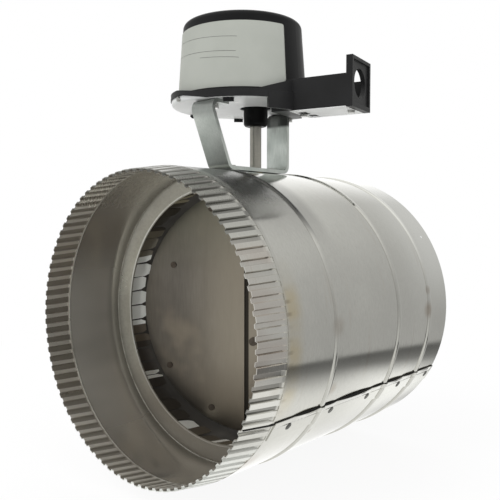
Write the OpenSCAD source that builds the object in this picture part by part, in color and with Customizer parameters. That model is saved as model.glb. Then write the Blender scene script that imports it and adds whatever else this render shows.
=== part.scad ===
// Automatic vent damper for a round flue: duct section, leaf ring, blade on a vertical shaft, and a
// geared actuator on a strap bracket. Millimetres, +Z up. The duct lies along Y and its plain outlet mouth
// faces +Y. The origin is the centre of the outlet mouth.

/* [Duct] */
// Bore of the plain outlet end
duct_bore_d = 228.6; // [200:0.1:260]
// Sheet thickness of the duct
duct_wall = 0.6; // [0.5:0.1:1.2]
// Overall length of the duct, crimped end included
duct_length = 251; // [245:1:300]
// Distance from the outlet mouth to the damper shaft
outlet_to_shaft = 121; // [116:1:140]
// Height of the rolled beads above the duct
bead_height = 1.2; // [0.6:0.1:2]
// Width of the rolled beads
bead_width = 5; // [4:0.5:7]
// Distance from the shaft to the bead that holds the leaf ring
ring_bead_from_shaft = 51; // [49:1:60]
// Distance from the shaft to the middle bead
middle_bead_from_shaft = 36.5; // [36:0.5:50]
// Distance from the shaft to the bead near the outlet
outlet_bead_from_shaft = 88.5; // [80:0.5:100]
// Width of the lap seam
lap_width = 15; // [12:1:20]

/* [Crimped end] */
// Length of the crimped part
crimp_length = 25; // [20:1:32]
// Number of flutes round the crimped end
crimp_count = 91; // [60:1:110]
// Depth of each flute at the rim
crimp_depth = 1.7; // [1:0.1:2.5]
// How far the crests draw in at the rim
crimp_draw_in = 3.6; // [2:0.1:5]

/* [Leaf ring] */
// Width of the leaf ring, from the duct's bore to its opening
leaf_ring_w = 14.3; // [12:0.1:20]
// Sheet thickness of the ring and its leaves
leaf_wall = 0.5; // [0.4:0.1:0.8]
// Number of leaves
leaf_count = 50; // [30:1:60]
// Length of each leaf from the ring
leaf_length = 19.5; // [8:0.5:20]
// Slit between neighbouring leaves
leaf_slit = 0.9; // [0.5:0.1:2]

/* [Blade] */
// Gap between the rim of the blade disc and the duct's bore
blade_gap = 9.8; // [9.8:0.1:20]
// Sheet thickness of the blade disc
blade_wall = 0.9; // [0.6:0.1:1.5]
// Sheet thickness of the half plate on its front
half_plate_wall = 0.9; // [0.6:0.1:1.5]
// Distance from the shaft axis to the straight edge of the half plate
half_plate_inset = 8; // [7:0.5:12]
// Turn of the stored blade from square across the duct
blade_rest_turn = 18; // [10:1:25]

/* [Shaft] */
// Diameter of the damper shaft
shaft_d = 9.5; // [8:0.1:12]
// Running clearance on the radius of each turning fit
running_clearance = 0.05; // [0.02:0.01:0.1]
// Wall of the shaft bushings
bushing_wall = 1.8; // [1.4:0.1:2.5]

/* [Bracket] */
// Width of the strap
strap_w = 22; // [18:1:26]
// Thickness of the strap
strap_t = 3; // [2:0.5:4]
// Height of the actuator pan above the crown of the duct
bracket_rise = 53.1; // [48:0.1:65]
// Distance from the shaft to the foot of the leaning leg
front_foot_reach = 43; // [38:1:44]
// Distance from the shaft to the head of the leaning leg
front_head_reach = 65; // [60:1:70]
// Distance from the shaft to the upright leg
rear_leg_reach = 30; // [26:0.5:30.5]

/* [Actuator body] */
// Outer diameter of the base pan
pan_d = 117; // [113:1:124]
// Height of the base pan
pan_h = 4.5; // [4.5:0.5:8]
// Sheet thickness of the base pan
pan_wall = 1.2; // [0.8:0.1:1.6]
// Turn of the actuator about the shaft
actuator_turn = 10; // [0:1:20]
// Step from the rim of the flange in to the foot of the cover
cover_step = 6.3; // [4:0.1:8]
// Height of the cover above the flange
cover_h = 61.5; // [60:0.5:70]
// Draft of the cover on the radius, foot to top
cover_draft = 4.2; // [2:0.1:5]
// Wall of the cover
cover_wall = 2; // [1.5:0.1:2.5]

/* [Wiring arm] */
// Width of the wiring arm and its end plate
arm_w = 37; // [34:1:42]
// Height of the arm walls
arm_h = 23.5; // [22:0.5:28]
// Distance from the shaft to the outer face of the end plate
arm_reach = 95.2; // [90:0.1:110]
// Height of the end plate
end_plate_h = 36.5; // [34:0.5:42]
// Thickness of the end plate
end_plate_t = 5; // [4:0.5:7]
// Diameter of the conduit hole
conduit_d = 22.2; // [20:0.1:24]

/* [Gear train] */
// Tooth module
gear_module = 1; // [0.9:0.05:1.05]
// Teeth of the output gear on the shaft
output_teeth = 48; // [44:1:48]
// Teeth of the large idler wheel
idler_teeth = 36; // [32:1:36]
// Teeth of each pinion
pinion_teeth = 14; // [14:1:16]
// Diameter of the motor can
motor_d = 42; // [38:1:42]
// Height of the motor can
motor_h = 30; // [16:1:32]

/* [Hidden] */

// Cuts run past the faces they open by this much
overrun = 1;
// Gap between pieces that are fitted but don't run on each other
fit_gap = 0.02;
// Gap between pieces that must stay clear of each other
clear_gap = 0.3;
round_fn = 96;
fine_fn = 32;

steel = [0.72, 0.71, 0.68];
zinc = [0.66, 0.69, 0.68];
blade_steel = [0.47, 0.45, 0.41];
black = [0.12, 0.12, 0.125];
white_metal = [0.86, 0.87, 0.86];
brass = [0.72, 0.58, 0.30];
nylon = [0.90, 0.89, 0.84];
green = [0.12, 0.36, 0.20];

// Duct
duct_bore_r = duct_bore_d / 2;
duct_r = duct_bore_r + duct_wall;
inlet_y = -duct_length;
crimp_start_y = inlet_y + crimp_length;
shaft_y = -outlet_to_shaft;
bead_ys = [
    shaft_y - ring_bead_from_shaft,
    shaft_y + middle_bead_from_shaft,
    shaft_y + outlet_bead_from_shaft
];
bead_crown_share = 0.3;
bead_shoulder_share = 0.8;
seam_angle = 27;
lap_angle = lap_width / duct_r * 180 / PI;
crimp_overlap = duct_wall;
crimp_seat = duct_wall / 10;
lap_start_y = crimp_start_y + 4 * duct_wall;
// Each row is a place along a flute, its draw-in and its depth, as shares of the values at the rim
crimp_shares = [[0.14, 0.1, 0.85], [1, 1, 1]];
// Angles of the corners of one flute as shares of its pitch
flute_shares = [0, 0.46, 0.56, 0.9];

// Seam rivets
seam_rivet_count = 5;
seam_rivet_pitch = 49.5;
seam_rivet_first = 7.5;
seam_rivet_d = 4;
seam_rivet_head = 0.5;
seam_rivet_crown_share = 0.7;
seam_rivet_depth = 1.8 * duct_wall;
seam_rivet_inset = 7.5;

// Leaf ring
ring_bore_r = duct_bore_r - leaf_ring_w;
ring_y = bead_ys[0];
ring_edge_r = duct_bore_r + bead_height - clear_gap;
leaf_pitch = 360 / leaf_count;
leaf_w = 2 * PI * ring_bore_r / leaf_count - leaf_slit;
leaf_spread = 9;
leaf_spread_step = 137;
leaf_root_bend = 4;
leaf_tip_share = 0.72;

// Bushings and shaft
shaft_r = shaft_d / 2;
bushing_r = shaft_r + running_clearance + bushing_wall;
bushing_flange_r = bushing_r + bushing_wall;
bushing_flange_t = 1.6;
duct_crown_gap = 1;
lower_bushing_stand = 3;
clip_t = 1.2;
clip_rim = 4;
clip_r = shaft_r + clip_rim;
shaft_tail = 5;
flat_depth = shaft_r / 3;

// Blade
blade_r = duct_bore_r - blade_gap;
blade_back_n = shaft_r - flat_depth + fit_gap;
blade_front_n = blade_back_n + blade_wall;
half_plate_back_n = blade_front_n + fit_gap;
half_plate_front_n = half_plate_back_n + half_plate_wall;
half_plate_edge_inset = 1;
blade_rivet_d = 3.2;
blade_rivet_head_d = 5.5;
blade_rivet_head_t = 0.8;
// Places of the rivets as shares of the blade radius, across and up
blade_rivet_shares = [[-0.72, 0.35], [-0.76, -0.5], [-0.37, -0.82], [-0.37, 0.82]];
blade_screw_d = 4;
blade_screw_head_d = 7;
blade_screw_head_t = 2;
blade_screw_depth = shaft_r;
blade_screw_pitch = 52;
blade_screw_count = 4;

// Bracket
strap_base_z = duct_r + clear_gap;
strap_base_top_z = strap_base_z + strap_t;
pan_z = duct_r + bracket_rise;
strap_head_z = pan_z - fit_gap;
strap_head_run = 20;
strap_bend_r = 4;
// Places of the rivets as shares of the distance from the shaft to each leg
bracket_rivet_shares = [0.72, 0.62];
bracket_rivet_ys = [-front_foot_reach * bracket_rivet_shares[0], rear_leg_reach * bracket_rivet_shares[1]];
bracket_rivet_d = 4.8;
bracket_rivet_head_d = 8;
bracket_rivet_head_t = 1.4;
bracket_screw_d = 5;
bracket_screw_head_af = 8;
bracket_screw_head_t = 3;
bracket_screw_share = 0.68;
bracket_screw_inset = strap_head_run * bracket_screw_share;
bracket_screw_ys = [-front_head_reach + bracket_screw_inset, rear_leg_reach + bracket_screw_inset];
bracket_screw_stand = 3;

// Actuator body, in its own turned frame about the shaft
pan_r = pan_d / 2;
pan_x = -9.5;
pan_y = -5.5;
pan_bend_r = 3;
pan_floor_z = pan_z + pan_wall;
pan_top_z = pan_z + pan_h;
coupling_r = 10;
coupling_slot_gap = 3;
coupling_slot_r = coupling_r + coupling_slot_gap;
flange_t = 1.5;
flange_lip = 0.8;
flange_r = pan_r + flange_lip;
flange_z = pan_top_z + fit_gap;
flange_top_z = flange_z + flange_t;
skirt_wall = 1.2;
// Azimuths where the skirt starts, where its lower edge comes level with the pan, and where it meets the arm
skirt_start = 238;
skirt_level = 275;
skirt_lap_angle = 1.2;
skirt_end = 360 - asin(arm_w / 2 / flange_r) + skirt_lap_angle;
skirt_slope = 10;
// Azimuth where the skirt drops to the floor of the arm
deep_skirt_start = 320;
// The rim stands on the flange: high round the far side, down to nothing near the strap, up again to the arm
rim_wall = 1.6;
rim_inset = flange_lip / 4;
rim_h = 3.6;
rim_start = 17;
rim_end = 263;
rim_slope = 9;
ramp_start = 312;
ramp_slope = 17;
cover_r = flange_r - cover_step;
cover_foot_z = flange_top_z + fit_gap;
cover_top_z = cover_foot_z + cover_h;
cover_edge_r = 4.5;
draft_angle = atan(cover_draft / cover_h);
lip_h = 7;
lip_wall = 2;
lip_r = cover_r - cover_wall - clear_gap - cover_draft * lip_h / cover_h;
cover_screw_d = 3.5;
cover_screw_head_d = 7;
cover_screw_head_t = 2;
cover_screw_angles = [60, 150];
cover_screw_z = flange_top_z + cover_screw_head_d / 2 + 2 * clear_gap;
pan_screw_angles = [243, 120];
pan_screw_d = 3;
pan_screw_head_d = 4;
pan_screw_head_t = 1.4;
pan_screw_z = pan_z + pan_h / 2;
hook_angles = [290, 172, 125, 43];
hook_w = 8;
hook_t = 2.4;
hook_rim_gap = 4.5;
hook_r = pan_r - hook_rim_gap;
hook_drop = 3;
hook_nose = 0.9;

// Wiring arm
arm_wall = 2.5;
arm_drop = 8;
arm_floor_z = pan_z - arm_drop;
arm_near_y = pan_y - arm_w / 2;
arm_root_gap = 15;
arm_root_x = coupling_slot_r + arm_root_gap;
end_plate_x = arm_reach - end_plate_t;
end_plate_border = 2.5;
end_plate_recess = 1.5;
conduit_r = conduit_d / 2;
conduit_z = arm_floor_z + end_plate_h / 2;
floor_plate_t = 1;
root_floor_l = 16;
floor_plate_x = arm_root_x + root_floor_l;
floor_slot_w = 5;
floor_slot_l = 9;
// Places of the floor slots, along from the plate's end and across from its middle, as shares of arm_w
floor_slot_shares = [[0.2, -0.3], [0.32, 0.2], [0.62, 0.3]];
floor_screw_d = 3;
floor_screw_head_d = 5.5;
floor_screw_head_t = 1.8;
floor_boss_r = 3.2;
floor_screw_xs = [floor_plate_x + floor_boss_r, end_plate_x - floor_boss_r];
wire_hole_r = 4.5;

// Gear train, inside a circle as wide as the lip's opening
frame_r = lip_r - lip_wall;
tooth_addendum_share = 0.8;
tooth_dedendum_share = 1.1;
tooth_backlash = 0.12;
pressure_angle = 20;
flank_steps = 4;
output_pitch_r = gear_module * output_teeth / 2;
idler_pitch_r = gear_module * idler_teeth / 2;
pinion_pitch_r = gear_module * pinion_teeth / 2;
output_to_idler = output_pitch_r + pinion_pitch_r;
idler_to_motor = idler_pitch_r + pinion_pitch_r;
motor_wall_gap = 2.3;
motor_x = pan_x - (frame_r - motor_d / 2 - motor_wall_gap);
motor_y = pan_y;
output_to_motor = norm([motor_x, motor_y]);
motor_angle = atan2(motor_y, motor_x);
idler_offset_angle = acos((pow(output_to_motor, 2) + pow(output_to_idler, 2) - pow(idler_to_motor, 2))
    / (2 * output_to_motor * output_to_idler));
idler_angle = motor_angle + idler_offset_angle;
idler_x = output_to_idler * cos(idler_angle);
idler_y = output_to_idler * sin(idler_angle);
idler_to_motor_angle = atan2(motor_y - idler_y, motor_x - idler_x);
gear_plate_t = 1.5;
lower_post_h = 10;
lower_plate_z = pan_floor_z + lower_post_h;
lower_plate_top_z = lower_plate_z + gear_plate_t;
gear_t = 4;
wheel_t = 3;
gear_gap = 0.8;
output_gear_z = lower_plate_top_z + gear_gap;
idler_wheel_z = output_gear_z + gear_t + gear_gap;
motor_pinion_z = idler_wheel_z - gear_gap / 2;
upper_plate_z = idler_wheel_z + wheel_t + 2 * gear_gap;
upper_plate_top_z = upper_plate_z + gear_plate_t;
output_shaft_r = 4;
pin_r = 2;
pinion_shaft_r = 1.5;
motor_socket = 6;
post_r = 3;
post_screw_d = 3;
post_screw_head_d = 5.5;
post_screw_head_t = 2;
// Corners of the gear plates, and the posts between them, as shares of the gear train's circle
plate_corner_shares = [
    [-0.896, 0.533], [-1.042, 0.121], [-1.042, -0.388], [-0.621, -1.001], [0.073, -0.8],
    [0.581, -0.509], [0.606, 0.242], [0.412, 0.654], [-0.388, 0.775]
];
post_shares = [
    [-0.848, 0.485], [-0.59, -0.936], [0.061, -0.703],
    [0.533, -0.436], [0.363, 0.606], [-0.363, 0.678]
];
motor_screw_angles = [100, 280];
motor_ear_r = 3.2;
motor_screw_r = motor_d / 2 + post_screw_head_d / 2 + clear_gap;
motor_ear_tip = motor_screw_r + post_screw_head_d / 2 - clear_gap;

// Switches
switch_l = 19;
switch_w = 9;
switch_h = 6;
switch_z = upper_plate_top_z + fit_gap;
cam_t = 4;
cam_z = switch_z + switch_h / 2 - cam_t / 2;
cam_r = 9;
cam_lobe_r = 12;
cam_lobe_angle = 22;
lever_t = 0.6;
lever_gap = 3.2;
lever_w = 4;
lever_pin_r = 0.7;
lever_eye_r = 1.4;
lever_pin_inset = 0.25;
lever_reach_share = 0.8;
switch_hole_share = 0.7;
switch_face = cam_lobe_r + clear_gap + lever_gap;
closed_switch_angle = -45;
open_switch_angle = 45;
cam_rest_angle = closed_switch_angle + blade_rest_turn;
plunger_r = 1;
plunger_h = 0.8;
output_top_z = cam_z + cam_t + clip_t;

// Relay board
board_rim_gap = 6.72;
board_x = pan_x + frame_r - board_rim_gap;
wire_hole_from_board = 8;
wire_hole_x = board_x + wire_hole_from_board;
board_t = 1.6;
board_w_share = 0.788;
board_w = frame_r * board_w_share;
board_h = 34;
board_y = pan_y - board_w / 2;
board_lift = 8;
board_z = pan_floor_z + board_lift;
relay_w = 12;
relay_h = 15;
relay_t = 3.5;
terminal_w = 20;
terminal_h = 9;
terminal_t = 3;
terminal_count = 4;
terminal_lift = 1;
bracket_leaf_t = 1;
bracket_leaf_w = 14;
bracket_leaf_h = 12;

// Coupling
coupling_below = 15;
coupling_above = 8;
coupling_z = pan_z - coupling_below;
coupling_top_z = pan_z + coupling_above;
coupling_edge_r = 3;
set_screw_r = 2;
set_screw_rise = 6;
set_screw_z = coupling_z + set_screw_rise;
shaft_seat_l = 11;
shaft_top_z = coupling_z + shaft_seat_l;
output_bottom_z = shaft_top_z + clear_gap;
shaft_bottom_z = -duct_r - lower_bushing_stand - clip_t - shaft_tail;

// Turns a shape drawn round Z so that it lies round Y, its height running along +Y
module along_y() {
    rotate([-90, 0, 0])
        children();
}

// Places a shape drawn about the shaft's own axis, Z counted from the duct's axis
module at_shaft() {
    translate([0, shaft_y, 0])
        children();
}

// Places a shape drawn in the actuator's frame
module at_actuator() {
    at_shaft()
        rotate([0, 0, actuator_turn])
            children();
}

// Places a shape drawn about the middle of the pan
module at_pan() {
    at_actuator()
        translate([pan_x, pan_y, 0])
            children();
}

// Places a shape drawn on the stored blade: X across, Y out of its front face, Z up
module at_blade() {
    at_shaft()
        rotate([0, 0, blade_rest_turn])
            mirror([0, 1, 0])
                children();
}

// Disc or ring between two heights
module ring(outer, inner, low, high) {
    translate([0, 0, low])
        difference() {
            cylinder(r = outer, h = high - low, $fn = round_fn);
            if (inner > 0)
                translate([0, 0, -overrun])
                    cylinder(r = inner, h = high - low + 2 * overrun, $fn = round_fn);
        }
}

// Headed fastener: head on the origin plane reaching up, shank reaching down
module fastener(shank_d, shank_l, head_d, head_t) {
    cylinder(d = head_d, h = head_t, $fn = fine_fn);
    translate([0, 0, -shank_l])
        cylinder(d = shank_d, h = shank_l + head_t / 2, $fn = fine_fn);
}

// Outline of a rolled bead as [radius, distance] points on a skin of radius r
function bead_points(r, y) = [
    [r, y - bead_width / 2],
    [r + bead_height * bead_shoulder_share, y - bead_width * bead_crown_share],
    [r + bead_height, y],
    [r + bead_height * bead_shoulder_share, y + bead_width * bead_crown_share],
    [r, y + bead_width / 2]
];

// One side of the duct wall from a place near the crimps to the outlet
function skin(r, start) = [
    [r, start],
    for (y = bead_ys) each bead_points(r, y),
    [r, 0]
];

function reversed(points) = [for (i = [len(points) - 1 : -1 : 0]) points[i]];

// Closed section between two skins of the duct
module wall_section(inner, outer, start) {
    polygon(concat(skin(inner, start), reversed(skin(outer, start))));
}

// One ring of corners round the crimped end, at a place along Y, drawn in and fluted by the given amounts
function flute_ring(r, y, draw_in, depth) = [
    for (i = [0 : crimp_count - 1], k = [0 : len(flute_shares) - 1])
        let (a = 360 * (i + flute_shares[k]) / crimp_count, q = r - draw_in - (k < 2 ? 0 : depth))
            [q * cos(a), y, q * sin(a)]
];

// Triangles that join rings of n corners each, the last ring to the first
function ring_faces(rings, n) = [
    for (j = [0 : rings - 1], i = [0 : n - 1], half = [0, 1])
        let (a = j * n, b = (j + 1) % rings * n, next = (i + 1) % n)
            half == 0 ? [a + i, b + i, b + next] : [a + i, b + next, a + next]
];

// Crimped end: sheet pressed into flutes that deepen and draw in towards the rim
module crimped_end() {
    outer = [for (row = crimp_shares)
        flute_ring(duct_r, crimp_start_y - crimp_length * row[0], crimp_draw_in * row[1],
            crimp_depth * row[2])];
    inner = [for (row = crimp_shares)
        flute_ring(duct_bore_r, crimp_start_y - crimp_length * row[0], crimp_draw_in * row[1],
            crimp_depth * row[2])];
    root_outer = flute_ring(duct_r, crimp_start_y + crimp_overlap, crimp_seat, 0);
    root_inner = flute_ring(duct_bore_r, crimp_start_y + crimp_overlap, -crimp_seat, 0);
    rings = concat([root_outer], outer, reversed(inner), [root_inner]);
    polyhedron(points = [for (r = rings) each r], faces = ring_faces(len(rings), len(root_outer)));
}

// Round hole through the duct wall along Z, on the side given by the sign
module crown_hole(r, side) {
    at_shaft()
        translate([0, 0, side > 0 ? duct_bore_r - bushing_flange_r : -duct_r - bushing_flange_r])
            cylinder(r = r, h = 2 * bushing_flange_r, $fn = fine_fn);
}

// Places its children on the seam, at the rivet with this number, with their Z pointing out of the duct
module on_seam(i) {
    rotate([0, seam_angle + seam_rivet_inset / duct_r * 180 / PI, 0])
        translate([duct_r + duct_wall, -seam_rivet_first - i * seam_rivet_pitch, 0])
            rotate([0, 90, 0])
                children();
}

module duct_shell() {
    color(steel)
        difference() {
            union() {
                along_y()
                    rotate_extrude($fn = 2 * round_fn)
                        wall_section(duct_bore_r, duct_r, crimp_start_y);
                along_y()
                    rotate([0, 0, seam_angle])
                        rotate_extrude(angle = lap_angle, $fn = 2 * round_fn)
                            wall_section(duct_r - duct_wall / 2, duct_r + duct_wall, lap_start_y);
                crimped_end();
            }
            crown_hole(bushing_r + fit_gap, 1);
            crown_hole(bushing_r + fit_gap, -1);
            for (i = [0 : seam_rivet_count - 1])
                on_seam(i)
                    translate([0, 0, -3 * duct_wall])
                        cylinder(d = seam_rivet_d / 2 + 2 * fit_gap, h = 4 * duct_wall, $fn = fine_fn);
            for (y = bracket_rivet_ys)
                translate([0, shaft_y + y, duct_bore_r - overrun])
                    cylinder(d = bracket_rivet_d + 2 * fit_gap, h = duct_wall + 2 * overrun, $fn = fine_fn);
        }
}

module seam_rivets() {
    color(zinc)
        for (i = [0 : seam_rivet_count - 1])
            on_seam(i) {
                cylinder(d1 = seam_rivet_d, d2 = seam_rivet_d * seam_rivet_crown_share, h = seam_rivet_head,
                    $fn = fine_fn);
                translate([0, 0, -seam_rivet_depth])
                    cylinder(d = seam_rivet_d / 2, h = seam_rivet_depth + seam_rivet_head / 2,
                        $fn = fine_fn);
            }
}

// One leaf, bent back from the ring by its own angle, with its far corners trimmed
module leaf(bend) {
    rotate([bend, 0, 0])
        translate([0, 0, -leaf_wall])
            linear_extrude(leaf_wall)
                polygon([
                    [-leaf_w / 2, 0],
                    [leaf_w / 2, 0],
                    [leaf_w / 2, leaf_length * leaf_tip_share],
                    [leaf_w / 2 * leaf_tip_share, leaf_length],
                    [-leaf_w / 2 * leaf_tip_share, leaf_length],
                    [-leaf_w / 2, leaf_length * leaf_tip_share]
                ]);
}

module leaf_ring() {
    color(steel)
        translate([0, ring_y, 0])
            along_y() {
                ring(ring_edge_r, ring_bore_r, -leaf_wall / 2, leaf_wall / 2);
                for (i = [0 : leaf_count - 1])
                    rotate([0, 0, i * leaf_pitch])
                        translate([0, ring_bore_r + leaf_wall, 0])
                            leaf(90 - leaf_root_bend - leaf_spread * (1 + sin(leaf_spread_step * i)) / 2);
            }
}

// Plain sleeve with a flange inside the duct, for the upper or the lower end of the shaft
module bushing(low, high) {
    ring(bushing_r, shaft_r + running_clearance, low, high);
}

module upper_bushing() {
    flange_top = duct_bore_r - duct_crown_gap;
    color(brass)
        at_shaft() {
            bushing(flange_top - bushing_flange_t, strap_base_top_z);
            ring(bushing_flange_r, shaft_r + running_clearance, flange_top - bushing_flange_t, flange_top);
        }
}

module lower_bushing() {
    flange_bottom = -duct_bore_r + duct_crown_gap;
    color(brass)
        at_shaft() {
            bushing(-duct_r - lower_bushing_stand, flange_bottom + bushing_flange_t);
            ring(bushing_flange_r, shaft_r + running_clearance, flange_bottom,
                flange_bottom + bushing_flange_t);
        }
}

// Points of an arc round a corner, on a strip that turns from direction a to direction b
function corner_arc(p, a, b, r, side, steps = 6) =
    let (turn = b - a, sign = turn > 0 ? 1 : -1, back = r * tan(abs(turn) / 2),
        centre = p - back * [cos(a), sin(a)] + sign * r * [-sin(a), cos(a)], q = r - sign * side)
    [for (i = [0 : steps]) let (t = a + turn * i / steps) centre + sign * q * [sin(t), -cos(t)]];

// Side of a bent strip: path corners, direction of each run, and how far this side lies from the middle line
function strip_side(path, dirs, r, side) = concat(
    [path[0] + side * [-sin(dirs[0]), cos(dirs[0])]],
    [for (i = [1 : len(path) - 2]) each corner_arc(path[i], dirs[i - 1], dirs[i], r, side)],
    [path[len(path) - 1] + side * [-sin(dirs[len(dirs) - 1]), cos(dirs[len(dirs) - 1])]]
);

module mounting_bracket() {
    head = strap_head_z - strap_t / 2;
    foot = strap_base_z + strap_t / 2;
    path = [
        [-front_head_reach + strap_head_run, head],
        [-front_head_reach, head],
        [-front_foot_reach, foot],
        [rear_leg_reach, foot],
        [rear_leg_reach, head],
        [rear_leg_reach + strap_head_run, head]
    ];
    bend = strap_bend_r + strap_t / 2;
    color(zinc)
        at_shaft()
            difference() {
                translate([-strap_w / 2, 0, 0])
                    rotate([90, 0, 90])
                        linear_extrude(strap_w)
                            bracket_outline(path, bend);
                translate([0, 0, strap_base_z - overrun])
                    cylinder(r = bushing_r + fit_gap, h = strap_t + 2 * overrun, $fn = fine_fn);
                for (y = bracket_rivet_ys)
                    translate([0, y, strap_base_z - overrun])
                        cylinder(d = bracket_rivet_d + 2 * fit_gap, h = strap_t + 2 * overrun,
                            $fn = fine_fn);
                for (y = bracket_screw_ys)
                    translate([0, y, head - strap_t])
                        cylinder(d = bracket_screw_d + 2 * fit_gap, h = 2 * strap_t, $fn = fine_fn);
            }
}

// The strap's outline: its middle line runs head, leaning leg, base, upright leg, head
module bracket_outline(path, bend) {
    lean = atan2(path[2][1] - path[1][1], path[2][0] - path[1][0]);
    dirs = [180, 360 + lean, 360, 450, 360];
    polygon(concat(
        strip_side(path, dirs, bend, strap_t / 2),
        reversed(strip_side(path, dirs, bend, -strap_t / 2))
    ));
}

module bracket_rivets() {
    color(zinc)
        at_shaft()
            for (y = bracket_rivet_ys)
                translate([0, y, strap_base_top_z + fit_gap])
                    fastener(bracket_rivet_d, strap_t + clear_gap + duct_wall, bracket_rivet_head_d,
                        bracket_rivet_head_t);
}

module bracket_screws() {
    color(zinc)
        at_shaft()
            for (y = bracket_screw_ys)
                translate([0, y, strap_head_z - strap_t - fit_gap])
                    mirror([0, 0, 1]) {
                        cylinder(d = bracket_screw_head_af / cos(30), h = bracket_screw_head_t, $fn = 6);
                        translate([0, 0, -strap_t - pan_wall - bracket_screw_stand])
                            cylinder(d = bracket_screw_d, h = strap_t + pan_wall + bracket_screw_stand
                                + bracket_screw_head_t / 2, $fn = fine_fn);
                    }
}

// Drawn pan: flat floor, rounded corner and short wall
module base_pan() {
    color(white_metal)
        difference() {
            at_pan()
                difference() {
                    rotate_extrude($fn = round_fn)
                        pan_section();
                    for (a = hook_angles)
                        rotate([0, 0, a])
                            translate([hook_r, 0, pan_z - overrun])
                                hook_slot();
                    for (a = pan_screw_angles)
                        rotate([0, 0, a])
                            translate([pan_r - 2 * pan_wall, 0, pan_screw_z])
                                rotate([0, 90, 0])
                                    cylinder(d = pan_screw_d + 2 * fit_gap, h = 4 * pan_wall, $fn = fine_fn);
                }
            at_actuator() {
                floor_hole(0, 0, coupling_slot_r, round_fn);
                floor_hole(wire_hole_x, pan_y, wire_hole_r, fine_fn);
                for (c = post_shares)
                    floor_hole(c[0] * frame_r, c[1] * frame_r, post_screw_d / 2 + fit_gap, fine_fn);
                floor_hole(board_x - bracket_leaf_w / 2, pan_y, post_screw_d / 2 + fit_gap, fine_fn);
            }
            at_shaft()
                for (y = bracket_screw_ys)
                    floor_hole(0, y, bracket_screw_d / 2 + fit_gap, fine_fn);
        }
}

// Round hole through the pan's floor
module floor_hole(x, y, r, fn) {
    translate([x, y, pan_z - overrun])
        cylinder(r = r, h = pan_wall + 2 * overrun, $fn = fn);
}

// Slot in the pan's floor round a snap hook
module hook_slot() {
    translate([-hook_t / 2 - clear_gap, -hook_w / 2 - clear_gap, 0])
        cube([hook_t + 2 * clear_gap, hook_w + 2 * clear_gap, pan_wall + 2 * overrun]);
}

// Quarter arc from angle a to b about a centre
function arc(centre, r, a, b, steps = 6) =
    [for (i = [0 : steps]) let (t = a + (b - a) * i / steps) centre + r * [cos(t), sin(t)]];

module pan_section() {
    corner = [pan_r - pan_bend_r, pan_z + pan_bend_r];
    polygon(concat(
        [[0, pan_z]],
        arc(corner, pan_bend_r, -90, 0),
        [[pan_r, pan_top_z], [pan_r - pan_wall, pan_top_z]],
        arc(corner, pan_bend_r - pan_wall, 0, -90),
        [[0, pan_floor_z]]
    ));
}

// Black moulding: flange and lip under the cover, rim, skirt down the near side, snap hooks and wiring arm
module arm_housing() {
    color(black)
        union() {
            difference() {
                union() {
                    difference() {
                        housing_outside();
                        at_pan() {
                            ring(pan_r + clear_gap, 0, pan_z - clear_gap, flange_z);
                            ring(cover_r + clear_gap, 0, flange_top_z, flange_top_z + cover_h);
                        }
                    }
                    at_pan()
                        ring(lip_r, 0, flange_z + flange_t / 2, flange_top_z + lip_h);
                }
                at_pan() {
                    ring(lip_r - lip_wall, 0, pan_z, flange_top_z + lip_h + overrun);
                    for (a = cover_screw_angles)
                        rotate([0, 0, a])
                            translate([lip_r - 2 * lip_wall, 0, cover_screw_z])
                                rotate([0, 90, 0])
                                    cylinder(d = cover_screw_d + 2 * fit_gap, h = 3 * lip_wall,
                                        $fn = fine_fn);
                }
            }
            at_pan()
                snap_hooks();
        }
}

// The moulding before its pockets for the pan and the cover are cut
module housing_outside() {
    at_pan() {
        ring(flange_r, 0, flange_z - clear_gap / 2, flange_top_z + clear_gap);
        skirt();
        deep_skirt();
        far_rim();
        near_ramp();
    }
    at_actuator()
        arm_walls();
}

// Part of a ring between two azimuths
module ring_sector(outer, inner, low, high, from, to) {
    rotate([0, 0, from])
        rotate_extrude(angle = to - from, $fn = round_fn)
            translate([inner, low])
                square([outer - inner, high - low]);
}

// Block under or over a plane that leans about the radius at an azimuth, on the side of smaller azimuths
module leaning_block(azimuth, z, slope, over) {
    rotate([0, 0, azimuth])
        translate([0, 0, z])
            rotate([-slope, 0, 0])
                translate([0, -2 * pan_r, over ? 0 : -4 * pan_h])
                    cube([2 * pan_r, 2 * pan_r, 4 * pan_h]);
}

// Skirt outside the pan's wall, its lower edge rising in a plane away from the arm
module skirt() {
    difference() {
        ring_sector(pan_r + clear_gap + skirt_wall, pan_r - pan_wall, pan_z, flange_z + flange_t / 2,
            skirt_start, skirt_end);
        leaning_block(skirt_level, pan_z - clear_gap, skirt_slope, false);
    }
}

// Part of the skirt beside the arm, as deep as the arm and hooked under the pan's edge
module deep_skirt() {
    ring_sector(pan_r + clear_gap + skirt_wall + rim_inset, pan_r - pan_wall, arm_floor_z,
        flange_z + flange_t / 4, deep_skirt_start, skirt_end);
}

// Rim on the flange round the far side, running down to the flange behind the strap
module far_rim() {
    difference() {
        ring_sector(flange_r - rim_inset, flange_r - rim_wall, flange_z + flange_t / 2, flange_top_z + rim_h,
            rim_start, rim_end);
        leaning_block(rim_end, flange_top_z, rim_slope, true);
    }
}

// Rim that climbs from the flange to the top of the arm's near wall
module near_ramp() {
    difference() {
        ring_sector(flange_r - rim_inset, flange_r - rim_wall, flange_z + flange_t / 2,
            arm_floor_z + arm_h - rim_inset, ramp_start, skirt_end);
        mirror_at(ramp_start)
            leaning_block(0, flange_top_z, ramp_slope, true);
    }
}

// Swaps the sides of the radius at an azimuth, for a shape drawn at azimuth 0
module mirror_at(azimuth) {
    rotate([0, 0, azimuth])
        mirror([0, 1, 0])
            children();
}

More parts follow.
